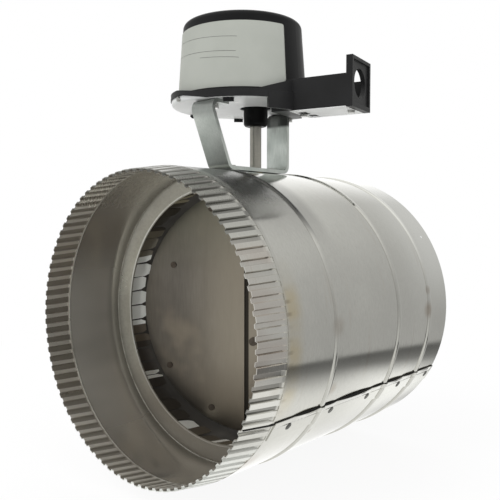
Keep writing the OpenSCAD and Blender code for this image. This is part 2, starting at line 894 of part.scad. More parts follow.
// Arm walls and their root under the pan, floor bosses, and the end plate with its hole
module arm_walls() {
    inside_w = arm_w - 2 * arm_wall;
    difference() {
        union() {
            translate([arm_root_x, arm_near_y, arm_floor_z])
                cube([end_plate_x - arm_root_x + arm_wall, arm_w, arm_h]);
            translate([end_plate_x, arm_near_y, arm_floor_z - floor_plate_t])
                cube([end_plate_t, arm_w, end_plate_h + floor_plate_t]);
        }
        translate([arm_root_x + arm_wall, arm_near_y + arm_wall, arm_floor_z + floor_boss_r])
            cube([end_plate_x - arm_root_x - arm_wall, inside_w, arm_h]);
        translate([floor_screw_xs[0] + floor_boss_r, arm_near_y + arm_wall, arm_floor_z - overrun])
            cube([floor_screw_xs[1] - floor_screw_xs[0] - 2 * floor_boss_r, inside_w,
                floor_boss_r + 2 * overrun]);
        for (x = floor_screw_xs)
            translate([x, pan_y, arm_floor_z - overrun])
                cylinder(d = floor_screw_d + 2 * fit_gap, h = floor_boss_r + 2 * overrun, $fn = fine_fn);
        translate([arm_reach - end_plate_recess, arm_near_y, arm_floor_z])
            translate([0, end_plate_border, end_plate_border])
                cube([end_plate_recess + overrun, arm_w - 2 * end_plate_border,
                    end_plate_h - 2 * end_plate_border]);
        translate([end_plate_x - overrun, pan_y, conduit_z])
            rotate([0, 90, 0])
                cylinder(r = conduit_r, h = end_plate_t + 2 * overrun, $fn = round_fn);
    }
}

// Snap hooks that reach from the flange through slots near the rim of the pan
module snap_hooks() {
    low = pan_z - hook_drop;
    for (a = hook_angles)
        rotate([0, 0, a])
            translate([hook_r, hook_w / 2, 0])
                rotate([90, 0, 0])
                    linear_extrude(hook_w)
                        polygon([
                            [-hook_t / 2, low],
                            [0, low],
                            [hook_t / 2 + hook_nose, pan_z - clear_gap - hook_nose],
                            [hook_t / 2 + hook_nose, pan_z - clear_gap],
                            [hook_t / 2, pan_z - clear_gap],
                            [hook_t / 2, flange_z + flange_t / 2],
                            [-hook_t / 2, flange_z + flange_t / 2]
                        ]);
}

module arm_floor_plate() {
    low = arm_floor_z - fit_gap - floor_plate_t;
    color(white_metal)
        at_actuator()
            difference() {
                translate([floor_plate_x, arm_near_y, low])
                    cube([end_plate_x - floor_plate_x - fit_gap, arm_w, floor_plate_t]);
                for (s = floor_slot_shares)
                    translate([floor_plate_x + s[0] * arm_w, pan_y + s[1] * arm_w, low - overrun])
                        slot_hole(floor_slot_l, floor_slot_w, floor_plate_t + 2 * overrun);
                for (x = floor_screw_xs)
                    translate([x, pan_y, low - overrun])
                        cylinder(d = floor_screw_d + 2 * fit_gap, h = floor_plate_t + 2 * overrun,
                            $fn = fine_fn);
            }
}

// Slot with round ends along X
module slot_hole(length, width, height) {
    for (side = [-1, 1])
        translate([side * (length - width) / 2, 0, 0])
            cylinder(d = width, h = height, $fn = fine_fn);
    translate([-(length - width) / 2, -width / 2, 0])
        cube([length - width, width, height]);
}

module arm_floor_screws() {
    color(zinc)
        at_actuator()
            for (x = floor_screw_xs)
                translate([x, pan_y, arm_floor_z - floor_plate_t - 2 * fit_gap])
                    mirror([0, 0, 1])
                        fastener(floor_screw_d, floor_plate_t + floor_boss_r, floor_screw_head_d,
                            floor_screw_head_t);
}

module pan_wall_screws() {
    color(zinc)
        at_pan()
            for (a = pan_screw_angles)
                rotate([0, 0, a])
                    translate([pan_r + fit_gap, 0, pan_screw_z])
                        rotate([0, 90, 0])
                            fastener(pan_screw_d, 2 * pan_wall, pan_screw_head_d, pan_screw_head_t);
}

function cover_r_at(z) = cover_r - cover_draft * (z - cover_foot_z) / cover_h;

// Moulded drum with draft and a rounded upper edge
module actuator_cover() {
    color(black)
        at_pan()
            difference() {
                rotate_extrude($fn = round_fn)
                    cover_section();
                for (a = cover_screw_angles)
                    rotate([0, 0, a])
                        translate([cover_r - 3 * cover_wall, 0, cover_screw_z])
                            rotate([0, 90, 0])
                                cylinder(d = cover_screw_d + 2 * fit_gap, h = 4 * cover_wall, $fn = fine_fn);
            }
}

module cover_section() {
    edge = [cover_r_at(cover_top_z) - cover_edge_r, cover_top_z - cover_edge_r];
    polygon(concat(
        [[cover_r - cover_wall, cover_foot_z], [cover_r, cover_foot_z]],
        arc(edge, cover_edge_r, draft_angle, 90, 8),
        [[0, cover_top_z], [0, cover_top_z - cover_wall]],
        arc(edge, cover_edge_r - cover_wall, 90, draft_angle, 8)
    ));
}

module cover_screws() {
    color(zinc)
        at_pan()
            for (a = cover_screw_angles)
                rotate([0, 0, a])
                    translate([cover_r_at(cover_screw_z) + clear_gap, 0, cover_screw_z])
                        rotate([0, 90, 0])
                            fastener(cover_screw_d, cover_wall + lip_wall + 2 * clear_gap,
                                cover_screw_head_d, cover_screw_head_t);
}

// Flat plate that joins the post corners
module gear_plate(z) {
    difference() {
        translate([0, 0, z])
            linear_extrude(gear_plate_t)
                polygon(plate_corner_shares * frame_r);
        for (c = post_shares)
            translate([c[0] * frame_r, c[1] * frame_r, z - overrun])
                cylinder(d = post_screw_d + 2 * fit_gap, h = gear_plate_t + 2 * overrun, $fn = fine_fn);
        translate([0, 0, z - overrun])
            cylinder(r = output_shaft_r + running_clearance, h = gear_plate_t + 2 * overrun, $fn = fine_fn);
        translate([idler_x, idler_y, z - overrun])
            cylinder(r = pin_r + fit_gap, h = gear_plate_t + 2 * overrun, $fn = fine_fn);
    }
}

module lower_gear_plate() {
    color(zinc)
        at_actuator()
            gear_plate(lower_plate_z);
}

module upper_gear_plate() {
    color(zinc)
        at_actuator()
            difference() {
                gear_plate(upper_plate_z);
                translate([motor_x, motor_y, upper_plate_z - overrun])
                    cylinder(r = pinion_shaft_r + clear_gap, h = gear_plate_t + 2 * overrun, $fn = fine_fn);
                for (a = motor_screw_angles)
                    motor_screw_place(a)
                        translate([0, 0, upper_plate_z - overrun])
                            cylinder(d = post_screw_d + 2 * fit_gap, h = gear_plate_t + 2 * overrun,
                                $fn = fine_fn);
            }
}

module motor_screw_place(a) {
    translate([motor_x, motor_y, 0])
        rotate([0, 0, a])
            translate([motor_screw_r, 0, 0])
                children();
}

// Two stages of posts, pan to lower plate and lower plate to upper plate, drilled for their screws
module gear_posts() {
    color(zinc)
        at_actuator()
            for (c = post_shares)
                translate([c[0] * frame_r, c[1] * frame_r, 0]) {
                    ring(post_r, post_screw_d / 2 + fit_gap, pan_floor_z + fit_gap, lower_plate_z - fit_gap);
                    ring(post_r, post_screw_d / 2 + fit_gap, lower_plate_top_z + fit_gap,
                        upper_plate_z - fit_gap);
                }
}

module gear_plate_screws() {
    color(zinc)
        at_actuator()
            for (c = post_shares)
                translate([c[0] * frame_r, c[1] * frame_r, upper_plate_top_z + fit_gap])
                    fastener(post_screw_d, upper_plate_top_z - pan_z, post_screw_head_d, post_screw_head_t);
}

module gear_motor() {
    low = upper_plate_top_z + fit_gap;
    color(white_metal)
        at_actuator()
            translate([motor_x, motor_y, 0])
                difference() {
                    union() {
                        translate([0, 0, low])
                            cylinder(d = motor_d, h = motor_h, $fn = round_fn);
                        for (a = motor_screw_angles)
                            rotate([0, 0, a])
                                translate([0, -motor_ear_r, low])
                                    cube([motor_ear_tip, 2 * motor_ear_r, pan_wall]);
                    }
                    translate([0, 0, low - overrun])
                        cylinder(r = pinion_shaft_r + running_clearance, h = motor_socket + overrun,
                            $fn = fine_fn);
                    for (a = motor_screw_angles)
                        rotate([0, 0, a])
                            translate([motor_screw_r, 0, low - overrun])
                                cylinder(d = post_screw_d + 2 * fit_gap, h = pan_wall + 2 * overrun,
                                    $fn = fine_fn);
                }
}

module motor_screws() {
    color(zinc)
        at_actuator()
            for (a = motor_screw_angles)
                motor_screw_place(a)
                    translate([0, 0, upper_plate_top_z + pan_wall + 2 * fit_gap])
                        fastener(post_screw_d, pan_wall + gear_plate_t, post_screw_head_d,
                            post_screw_head_t);
}

module idler_pin() {
    color(zinc)
        at_actuator()
            translate([idler_x, idler_y, lower_plate_z])
                cylinder(r = pin_r, h = upper_plate_top_z - lower_plate_z, $fn = fine_fn);
}

// Involute of an angle, in degrees
function involute(a) = tan(a) * 180 / PI - a;

// Half of a tooth's angle at radius r, for a gear with this many teeth
function tooth_half_angle(teeth, r) =
    let (pitch_r = gear_module * teeth / 2, base_r = pitch_r * cos(pressure_angle))
        90 / teeth - tooth_backlash / 2 / pitch_r * 180 / PI + involute(pressure_angle)
            - involute(acos(min(1, base_r / r)));

// Outline of a spur gear, a tooth centred on X
function gear_points(teeth) =
    let (pitch_r = gear_module * teeth / 2, tip_r = pitch_r + gear_module * tooth_addendum_share,
        root_r = pitch_r - gear_module * tooth_dedendum_share,
        start_r = max(root_r, pitch_r * cos(pressure_angle)),
        radii = concat(root_r < start_r ? [root_r] : [],
            [for (k = [0 : flank_steps]) start_r + (tip_r - start_r) * k / flank_steps]))
    [for (i = [0 : teeth - 1], side = [-1, 1], k = [0 : len(radii) - 1])
        let (r = side < 0 ? radii[k] : radii[len(radii) - 1 - k],
            a = 360 * i / teeth + side * tooth_half_angle(teeth, max(r, start_r)))
            r * [cos(a), sin(a)]];

module spur_gear(teeth, z, t) {
    translate([0, 0, z])
        linear_extrude(t)
            polygon(gear_points(teeth));
}

// Switch in its own frame: the face towards the cam lies on the X axis, the body reaches along +Y
module switch_body() {
    difference() {
        union() {
            translate([-switch_l / 2, 0, switch_z])
                cube([switch_l, switch_w, switch_h]);
            translate([0, 0, switch_z + switch_h / 2])
                rotate([90, 0, 0])
                    cylinder(r = plunger_r, h = plunger_h, $fn = fine_fn);
            for (z = [switch_z, switch_z + switch_h / 2 + lever_w / 2 + clear_gap])
                translate([-switch_l / 2, -lever_gap, z])
                    cube([2 * lever_eye_r, lever_gap + overrun, switch_h / 2 - lever_w / 2 - clear_gap]);
        }
        for (x = [-1, 1])
            translate([x * switch_l / 4, switch_w * switch_hole_share, switch_z - overrun])
                cylinder(r = lever_pin_r, h = switch_h + 2 * overrun, $fn = fine_fn);
    }
    translate([-switch_l / 2 + lever_eye_r, -lever_gap + lever_eye_r, switch_z + lever_pin_inset])
        cylinder(r = lever_pin_r, h = switch_h - 2 * lever_pin_inset, $fn = fine_fn);
}

// Leaf lever turning on the switch's own pin
module switch_lever() {
    low = switch_z + switch_h / 2 - lever_w / 2;
    translate([-switch_l / 2 + lever_eye_r, -lever_gap + lever_eye_r, low])
        difference() {
            union() {
                cylinder(r = lever_eye_r, h = lever_w, $fn = fine_fn);
                translate([0, -lever_eye_r, 0])
                    cube([switch_l * lever_reach_share, lever_t, lever_w]);
            }
            translate([0, 0, -overrun])
                cylinder(r = lever_pin_r + running_clearance, h = lever_w + 2 * overrun, $fn = fine_fn);
        }
}

// Places a switch's frame so that its face stands square to the given direction from the shaft
module at_switch(angle) {
    at_actuator()
        rotate([0, 0, angle - 90])
            translate([0, switch_face, 0])
                children();
}

module closed_switch() {
    color(black)
        at_switch(closed_switch_angle)
            switch_body();
}

module open_switch() {
    color(black)
        at_switch(open_switch_angle)
            switch_body();
}

module closed_switch_lever() {
    color(steel)
        at_switch(closed_switch_angle)
            switch_lever();
}

module open_switch_lever() {
    color(steel)
        at_switch(open_switch_angle)
            switch_lever();
}

module relay_board() {
    color(green)
        at_actuator()
            translate([board_x, board_y, board_z])
                cube([board_t, board_w, board_h]);
}

module board_relay() {
    color(nylon)
        at_actuator()
            translate([board_x + board_t + fit_gap, pan_y - relay_w / 2,
                board_z + board_h - relay_h - clear_gap])
                cube([relay_t, relay_w, relay_h]);
}

module wire_terminals() {
    pitch = terminal_w / terminal_count;
    color(nylon)
        at_actuator()
            translate([board_x + board_t + fit_gap, pan_y - terminal_w / 2, board_z + terminal_lift])
                difference() {
                    cube([terminal_t, terminal_w, terminal_h]);
                    for (i = [0 : terminal_count - 1])
                        translate([terminal_t / 2, pitch * (i + 0.5), terminal_h / 2])
                            rotate([0, 90, 0])
                                cylinder(d = pitch / 2, h = terminal_t, $fn = fine_fn);
                }
}

// Angle that carries the board on the floor of the pan
module board_bracket() {
    low = pan_floor_z + fit_gap;
    color(zinc)
        at_actuator()
            difference() {
                union() {
                    translate([board_x - fit_gap - bracket_leaf_t, pan_y - bracket_leaf_w / 2, low])
                        cube([bracket_leaf_t, bracket_leaf_w, board_z - low + bracket_leaf_h]);
                    translate([board_x - fit_gap - bracket_leaf_w, pan_y - bracket_leaf_w / 2, low])
                        cube([bracket_leaf_w, bracket_leaf_w, bracket_leaf_t]);
                }
                translate([board_x - bracket_leaf_w / 2, pan_y, low - overrun])
                    cylinder(d = post_screw_d + 2 * fit_gap, h = bracket_leaf_t + 2 * overrun,
                        $fn = fine_fn);
            }
}

// Screw through the bracket's foot into the pan
module board_screws() {
    foot_z = pan_floor_z + 2 * fit_gap + bracket_leaf_t;
    color(zinc)
        at_actuator()
            translate([board_x - bracket_leaf_w / 2, pan_y, foot_z])
                fastener(post_screw_d, foot_z - pan_z, post_screw_head_d, post_screw_head_t);
}

// Shaft with a flat where the blade seats
module damper_shaft() {
    color(steel)
        at_blade()
            difference() {
                translate([0, 0, shaft_bottom_z])
                    cylinder(r = shaft_r, h = shaft_top_z - shaft_bottom_z, $fn = fine_fn);
                translate([-shaft_r - overrun, shaft_r - flat_depth, -blade_r - overrun])
                    cube([2 * (shaft_r + overrun), flat_depth + overrun, 2 * (blade_r + overrun)]);
                blade_screw_places()
                    translate([0, 0, -blade_screw_depth - fit_gap])
                        cylinder(d = blade_screw_d + 2 * fit_gap, h = blade_r, $fn = fine_fn);
            }
}

// Places its children at each blade screw, their Z pointing out of the front face
module blade_screw_places() {
    for (i = [0 : blade_screw_count - 1])
        translate([0, blade_front_n, (i - (blade_screw_count - 1) / 2) * blade_screw_pitch])
            rotate([-90, 0, 0])
                children();
}

// Places its children at each blade rivet, their Z pointing out of the front face
module blade_rivet_places() {
    for (s = blade_rivet_shares)
        translate([s[0] * blade_r, half_plate_front_n, s[1] * blade_r])
            rotate([-90, 0, 0])
                children();
}

// Disc standing across the duct between two distances in front of the shaft
module blade_slab(r, low, high) {
    translate([0, low, 0])
        rotate([-90, 0, 0])
            cylinder(r = r, h = high - low, $fn = 2 * round_fn);
}

module blade_disc() {
    color(blade_steel)
        at_blade()
            difference() {
                blade_slab(blade_r, blade_back_n, blade_front_n);
                blade_screw_places()
                    translate([0, 0, -blade_r / 2])
                        cylinder(d = blade_screw_d + 2 * fit_gap, h = blade_r, $fn = fine_fn);
                blade_rivet_places()
                    translate([0, 0, -blade_r / 2])
                        cylinder(d = blade_rivet_d + 2 * fit_gap, h = blade_r, $fn = fine_fn);
            }
}

module blade_half_plate() {
    color(blade_steel)
        at_blade()
            difference() {
                blade_slab(blade_r - half_plate_edge_inset, half_plate_back_n, half_plate_front_n);
                translate([-half_plate_inset, 0, -blade_r])
                    cube([2 * blade_r, blade_r, 2 * blade_r]);
                blade_rivet_places()
                    translate([0, 0, -blade_r / 2])
                        cylinder(d = blade_rivet_d + 2 * fit_gap, h = blade_r, $fn = fine_fn);
            }
}

module blade_rivets() {
    depth = half_plate_front_n - blade_back_n;
    color(blade_steel)
        at_blade()
            blade_rivet_places() {
                translate([0, 0, fit_gap])
                    fastener(blade_rivet_d, depth + 3 * fit_gap, blade_rivet_head_d, blade_rivet_head_t);
                translate([0, 0, -depth - 2 * fit_gap - blade_rivet_head_t])
                    cylinder(d = blade_rivet_head_d, h = blade_rivet_head_t, $fn = fine_fn);
            }
}

module blade_screws() {
    color(zinc)
        at_blade()
            blade_screw_places()
                translate([0, 0, fit_gap])
                    fastener(blade_screw_d, blade_screw_depth, blade_screw_head_d, blade_screw_head_t);
}

// Rounded sleeve that joins the damper shaft to the output shaft
module shaft_coupling() {
    r = coupling_r;
    e = coupling_edge_r;
    color(black)
        at_shaft()
            difference() {
                rotate_extrude($fn = round_fn)
                    polygon(concat(
                        [[shaft_r + fit_gap, coupling_z]],
                        arc([r - e, coupling_z + e], e, -90, 0),
                        arc([r - e, coupling_top_z - e], e, 0, 90),
                        [[output_shaft_r + fit_gap, coupling_top_z],
                        [output_shaft_r + fit_gap, output_bottom_z - clear_gap / 2],
                        [shaft_r + fit_gap, output_bottom_z - clear_gap / 2]]
                    ));
                rotate([0, 0, actuator_turn])
                    translate([0, 0, set_screw_z])
                        rotate([90, 0, 0])
                            cylinder(r = set_screw_r + fit_gap, h = 2 * coupling_r, $fn = fine_fn);
            }
}

module coupling_set_screw() {
    color(zinc)
        at_actuator()
            translate([0, -shaft_r - 2 * fit_gap, set_screw_z])
                rotate([90, 0, 0])
                    cylinder(r = set_screw_r, h = coupling_r - shaft_r - clear_gap, $fn = fine_fn);
}

module output_shaft() {
    color(zinc)
        at_shaft()
            translate([0, 0, output_bottom_z])
                cylinder(r = output_shaft_r, h = output_top_z - output_bottom_z, $fn = fine_fn);
}

module output_gear() {
    color(nylon)
        at_actuator()
            difference() {
                rotate([0, 0, idler_angle])
                    spur_gear(output_teeth, output_gear_z, gear_t);
                translate([0, 0, output_gear_z - overrun])
                    cylinder(r = output_shaft_r + fit_gap, h = gear_t + 2 * overrun, $fn = fine_fn);
            }
}

// Two-lobed hub: one raised nose that reaches the levers at the end stops
module switch_cam() {
    nose = [for (a = [-cam_lobe_angle / 2 : cam_lobe_angle / 4 : cam_lobe_angle / 2])
        cam_lobe_r * [cos(a), sin(a)]];
    rest = [for (a = [cam_lobe_angle * 1.5 : 10 : 360 - cam_lobe_angle * 1.5]) cam_r * [cos(a), sin(a)]];
    color(nylon)
        at_actuator()
            rotate([0, 0, cam_rest_angle])
                difference() {
                    translate([0, 0, cam_z])
                        linear_extrude(cam_t)
                            polygon(concat(nose, rest));
                    translate([0, 0, cam_z - overrun])
                        cylinder(r = output_shaft_r + fit_gap, h = cam_t + 2 * overrun, $fn = fine_fn);
                }
}

// Ring that holds the lower end of the shaft under its bushing
module shaft_clip() {
    top = -duct_r - lower_bushing_stand - clear_gap;
    color(zinc)
        at_shaft()
            ring(clip_r, shaft_r + fit_gap, top - clip_t, top);
}

// Large wheel above and pinion below, moulded in one
module idler_gear() {
    color(nylon)
        at_actuator()
            translate([idler_x, idler_y, 0])
                difference() {
                    union() {
                        rotate([0, 0, idler_angle + 180 - 180 / pinion_teeth])
                            spur_gear(pinion_teeth, output_gear_z, idler_wheel_z - output_gear_z + gear_gap);
                        rotate([0, 0, idler_to_motor_angle])
                            spur_gear(idler_teeth, idler_wheel_z, wheel_t);
                    }
                    translate([0, 0, output_gear_z - overrun])
                        cylinder(r = pin_r + running_clearance, h = upper_plate_z - output_gear_z,
                            $fn = fine_fn);
                }
}

module motor_pinion() {
    color(brass)
        at_actuator()
            translate([motor_x, motor_y, 0]) {
                rotate([0, 0, idler_to_motor_angle + 180 - 180 / pinion_teeth])
                    spur_gear(pinion_teeth, motor_pinion_z, wheel_t + gear_gap);
                translate([0, 0, motor_pinion_z])
                    cylinder(r = pinion_shaft_r,
                        h = upper_plate_top_z + motor_socket - clear_gap - motor_pinion_z,
                        $fn = fine_fn);
            }
}

duct_shell();
seam_rivets();
leaf_ring();
upper_bushing();
lower_bushing();
mounting_bracket();
bracket_rivets();
bracket_screws();
base_pan();
arm_housing();
arm_floor_plate();
arm_floor_screws();
pan_wall_screws();
actuator_cover();
cover_screws();
lower_gear_plate();
gear_posts();
upper_gear_plate();
gear_plate_screws();
gear_motor();
motor_screws();
idler_pin();
closed_switch();
open_switch();
relay_board();
board_relay();
wire_terminals();
board_bracket();
board_screws();
damper_shaft();
blade_disc();
blade_half_plate();
blade_rivets();
blade_screws();
shaft_coupling();
coupling_set_screw();
output_shaft();
output_gear();
switch_cam();
shaft_clip();
idler_gear();
motor_pinion();
closed_switch_lever();
open_switch_lever();
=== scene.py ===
import math

import bpy
from mathutils import Matrix, Vector


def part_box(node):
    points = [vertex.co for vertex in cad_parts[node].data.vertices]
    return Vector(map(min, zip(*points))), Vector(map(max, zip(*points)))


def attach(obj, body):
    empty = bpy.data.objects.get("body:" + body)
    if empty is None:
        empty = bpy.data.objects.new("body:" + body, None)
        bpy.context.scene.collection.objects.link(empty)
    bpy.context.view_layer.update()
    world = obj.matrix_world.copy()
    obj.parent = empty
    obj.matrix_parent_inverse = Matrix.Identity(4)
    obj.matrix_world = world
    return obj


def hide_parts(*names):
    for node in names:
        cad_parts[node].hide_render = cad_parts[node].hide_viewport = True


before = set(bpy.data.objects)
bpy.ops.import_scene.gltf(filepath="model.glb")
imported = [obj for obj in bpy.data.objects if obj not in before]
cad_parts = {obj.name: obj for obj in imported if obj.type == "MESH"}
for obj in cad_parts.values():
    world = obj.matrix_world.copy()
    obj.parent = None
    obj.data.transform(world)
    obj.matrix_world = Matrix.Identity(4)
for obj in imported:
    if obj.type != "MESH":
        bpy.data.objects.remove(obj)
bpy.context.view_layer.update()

MM = 0.001
FULL_TURN = 2 * math.pi

# Sizes shared with the part's source: lengths in metres, angles in degrees
DUCT_BORE_R = 114.3 * MM
DUCT_R = 114.9 * MM
SHEET = 0.6 * MM
RIM_Y = -251.0 * MM
CRIMP_START_Y = -226.0 * MM
CRIMP_DRAW_IN = 3.6 * MM
CRIMP_COUNT = 91.0
BEAD_YS = [-172.0 * MM, -84.5 * MM, -32.5 * MM]
BEAD_H = 1.2 * MM
BEAD_HALF_W = 2.5 * MM
BEAD_CROWN_HALF_W = 1.5 * MM
BEAD_CROWN_FALL = 0.2
SEAM_ANGLE = 27.0
LAP_EDGE_ANGLE = 27.3
SEAM_RIVET_INSET = 7.5 * MM
SEAM_RIVET_YS = [(-7.5 - 49.5 * i) * MM for i in range(5)]
SHAFT_Y = -121.0 * MM
BLADE_TURN = 18.0
HALF_PLATE_EDGE = -8.0 * MM
PAN_CENTRE = (-9.5 * MM, -5.5 * MM)
ACTUATOR_TURN = 10.0
COVER_FOOT_R = 53.0 * MM
COVER_FOOT_Z = 174.04 * MM
COVER_DRAFT = 4.2 / 61.5


# Node trees

class Tree:
    """Shorthand for filling a shader's node tree."""

    def __init__(self, tree):
        self.tree = tree
        tree.nodes.clear()

    def put(self, value, socket):
        """Link a socket as an input, or set a plain value on it."""
        if isinstance(value, bpy.types.NodeSocket):
            self.tree.links.new(value, socket)
        else:
            socket.default_value = value

    def node(self, kind, props=None, **inputs):
        """A node with its properties, and its inputs by name, or by number as i0 and i1."""
        n = self.tree.nodes.new(kind)
        for key, value in (props or {}).items():
            setattr(n, key, value)
        for key, value in inputs.items():
            numbered = key[0] == "i" and key[1:].isdigit()
            self.put(value, n.inputs[int(key[1:]) if numbered else key.replace("_", " ")])
        return n

    def math(self, op, a, b=0.0, clamp=False):
        return self.node("ShaderNodeMath", {"operation": op, "use_clamp": clamp}, i0=a, i1=b).outputs[0]

    def times(self, product, *others):
        for other in others:
            product = self.math("MULTIPLY", product, other)
        return product

    def vmath(self, op, a, b=(0.0, 0.0, 0.0)):
        n = self.node("ShaderNodeVectorMath", {"operation": op}, i0=a, i1=b)
        return n.outputs["Value"] if op in ("DOT_PRODUCT", "DISTANCE", "LENGTH") else n.outputs[0]

    def scaled(self, vector, scale):
        return self.vmath("MULTIPLY", vector, scale)

    def axes(self, vector):
        return self.node("ShaderNodeSeparateXYZ", None, Vector=vector).outputs

    def noise(self, vector, scale, detail=3.0, rough=0.55):
        n = self.node("ShaderNodeTexNoise", None, Vector=vector, Scale=scale, Detail=detail, Roughness=rough)
        return n.outputs["Fac"]

    def span(self, value, low, high, to_low=0.0, to_high=1.0, smooth=True):
        """The value's place between low and high, which need not rise, carried over to to_low and to_high."""
        n = self.node("ShaderNodeMapRange", {"interpolation_type": "SMOOTHSTEP" if smooth else "LINEAR"},
                      Value=value, From_Min=low, From_Max=high, To_Min=to_low, To_Max=to_high)
        return n.outputs[0]

    def window(self, value, one_side, other_side):
        """Full between two sides; each pair holds where it is nought and where it is full."""
        return self.times(self.span(value, *one_side), self.span(value, *other_side))

    def mix(self, share, a, b):
        """Colour a, with a share of colour b."""
        n = self.tree.nodes.new("ShaderNodeMix")
        n.data_type = "RGBA"
        self.put(share, n.inputs[0])
        for value, socket in ((a, n.inputs[6]), (b, n.inputs[7])):
            self.put(value if isinstance(value, bpy.types.NodeSocket) else (*value, 1.0), socket)
        return n.outputs[2]

    def ramp(self, place, stops, mode="LINEAR"):
        n = self.node("ShaderNodeValToRGB", None, Fac=place)
        r = n.color_ramp
        r.interpolation = mode
        while len(r.elements) > 1:
            r.elements.remove(r.elements[-1])
        r.elements[0].position = stops[0][0]
        r.elements[0].color = (*stops[0][1], 1.0)
        for position, colour in stops[1:]:
            r.elements.new(position).color = (*colour, 1.0)
        return n.outputs[0]

    def bump(self, height, distance, normal=None):
        n = self.node("ShaderNodeBump", None, Height=height, Distance=distance, Strength=1.0)
        if normal is not None:
            self.put(normal, n.inputs["Normal"])
        return n.outputs[0]


def material(name):
    mat = bpy.data.materials.new(name)
    mat.use_nodes = True
    t = Tree(mat.node_tree)
    t.out = t.node("ShaderNodeOutputMaterial")
    t.bsdf = t.node("ShaderNodeBsdfPrincipled")
    t.put(t.bsdf.outputs[0], t.out.inputs["Surface"])
    t.place = t.node("ShaderNodeTexCoord").outputs["Object"]
    return mat, t


def metal(name, colour, dark, rough=0.3, rough_spread=0.08, grain=(1.0, 1.0, 1.0), grain_scale=400.0,
          grain_depth=0.02 * MM, mottle=25.0, tint=None, worn=None):
    """Sheet or turned metal: mottled tone, fine grain stretched along one way, uneven gloss."""
    mat, t = material(name)
    t.bsdf.inputs["Metallic"].default_value = 1.0
    big = t.noise(t.place, mottle, 4.0)
    fine = t.noise(t.scaled(t.place, grain), grain_scale)
    base = t.mix(t.span(big, 0.3, 0.7), colour, dark)
    base = t.mix(t.times(t.span(fine, 0.3, 0.75), 0.35), base, [c * 0.8 for c in dark])
    if tint:
        base, share = tint(t, base)
        if share is not None:
            t.put(share, t.bsdf.inputs["Metallic"])
    t.put(base, t.bsdf.inputs["Base Color"])
    gloss = t.math("ADD", t.span(big, 0.25, 0.75, rough - rough_spread, rough + rough_spread),
                   t.span(fine, 0.2, 0.8, -0.02, 0.03))
    if worn:
        gloss = t.math("ADD", gloss, worn(t))
    t.put(gloss, t.bsdf.inputs["Roughness"])
    t.put(t.bump(fine, grain_depth), t.bsdf.inputs["Normal"])
    return mat


def plastic(name, colour, worn, rough=0.45, grain_scale=900.0, grain_depth=0.03 * MM, edge=0.4 * MM,
            gloss=0.5):
    """Moulded plastic: faint spark texture, handling marks, softened edges."""
    mat, t = material(name)
    t.bsdf.inputs["Specular IOR Level"].default_value = gloss
    big = t.noise(t.place, 30.0, 4.0)
    fine = t.noise(t.place, grain_scale, 2.0)
    t.put(t.mix(t.span(big, 0.35, 0.75), colour, worn), t.bsdf.inputs["Base Color"])
    t.put(t.span(big, 0.2, 0.8, rough - 0.06, rough + 0.08), t.bsdf.inputs["Roughness"])
    soft = t.node("ShaderNodeBevel", {"samples": 4}, Radius=edge).outputs[0]
    t.put(t.bump(fine, grain_depth, soft), t.bsdf.inputs["Normal"])
    return mat


# Where the duct's tints lie, in metres: each pair holds where a tint is least and where it is full
CRIMPED_Y = (-0.2262, -0.2285)
CRIMP_ENDS_Y = (-0.2222, -0.2245)
FLUTE_SPOTS_Y = ((-0.2275, -0.2250), (-0.2190, -0.2235))
HEAT_Y = ((-0.2285, -0.2225), (-0.206, -0.2185))
FLANK_Z = ((-0.06, -0.01), (0.055, 0.025))
RIGHT_X = (-0.02, 0.02)
OUTLET_Y = (-0.085, -0.004)
OUTLET_Z = (-0.012, 0.045)
# Places of the painted dark reflection on the crown and of the painted shade at the first bead
DARK_REFLECTION_Y = ((-0.163, -0.182), (-0.2225, -0.2165))
DARK_REFLECTION_Z = (0.072, 0.101)
DARK_REFLECTION_REAR_Y = (-0.146, -0.160)
DARK_REFLECTION_REAR_Z = (0.055, 0.085)
FIRST_BEAD_Y = ((-0.1752, -0.1742), (-0.1690, -0.1700))
FIRST_BEAD_Z = (0.060, 0.085)
# Heights of the painted light and shade on the crimps, then of a stain on them
DARKENED_CREST_Z = (0.03, 0.105)
SHEEN_CREST_Z = ((0.055, 0.012), (-0.062, -0.045))
HIGHLIGHT_CREST_Z = (-0.060, -0.078)
LOW_GROOVE_Z = ((-0.052, -0.044), (-0.014, -0.022))
STAINED_CREST_Z = ((0.068, 0.05), (-0.035, -0.022))
GROOVE_DEPTH = (0.4 * MM, 1.1 * MM)
FOLD_DEPTH = (2.1 * MM, 1.0 * MM)
# Places of the painted light and shade inside the duct
INSIDE_LEFT_X = (-0.03, -0.09)
INSIDE_LEFT_Z = (0.075, 0.01)
INSIDE_PALE_Z = (-0.10, -0.05)
INSIDE_TOP_Z = (0.085, 0.11)
RING_SEAT_Y = ((-0.1900, -0.1775), (-0.1740, -0.1750))
BEHIND_RING_Y = ((-0.1722, -0.1700), (-0.060, -0.095))
WORN_CROWN_Y = (-0.155, -0.175)
WORN_CROWN_Z = (0.068, 0.09)
WORN_CRIMP_Y = (-0.2262, -0.2275)
WORN_CRIMP_Z = (-0.055, -0.075)

# Colours of the duct's tints outside, then inside
# Painted reflection that lightens the flank towards the outlet
OUTLET_PAINTED_SHEEN = (0.82, 0.82, 0.79)
HEAT_YELLOW = (0.60, 0.50, 0.30)
STREAK_BROWN = (0.52, 0.44, 0.36)
MARK_BROWN = (0.30, 0.22, 0.15)
# Painted dark reflection on the crown under the bracket, then painted shade at the first bead
CROWN_DARK_REFLECTION = (0.085, 0.085, 0.083)
BEAD_SHADE = (0.07, 0.07, 0.067)
SPOT_BROWN = (0.30, 0.26, 0.20)
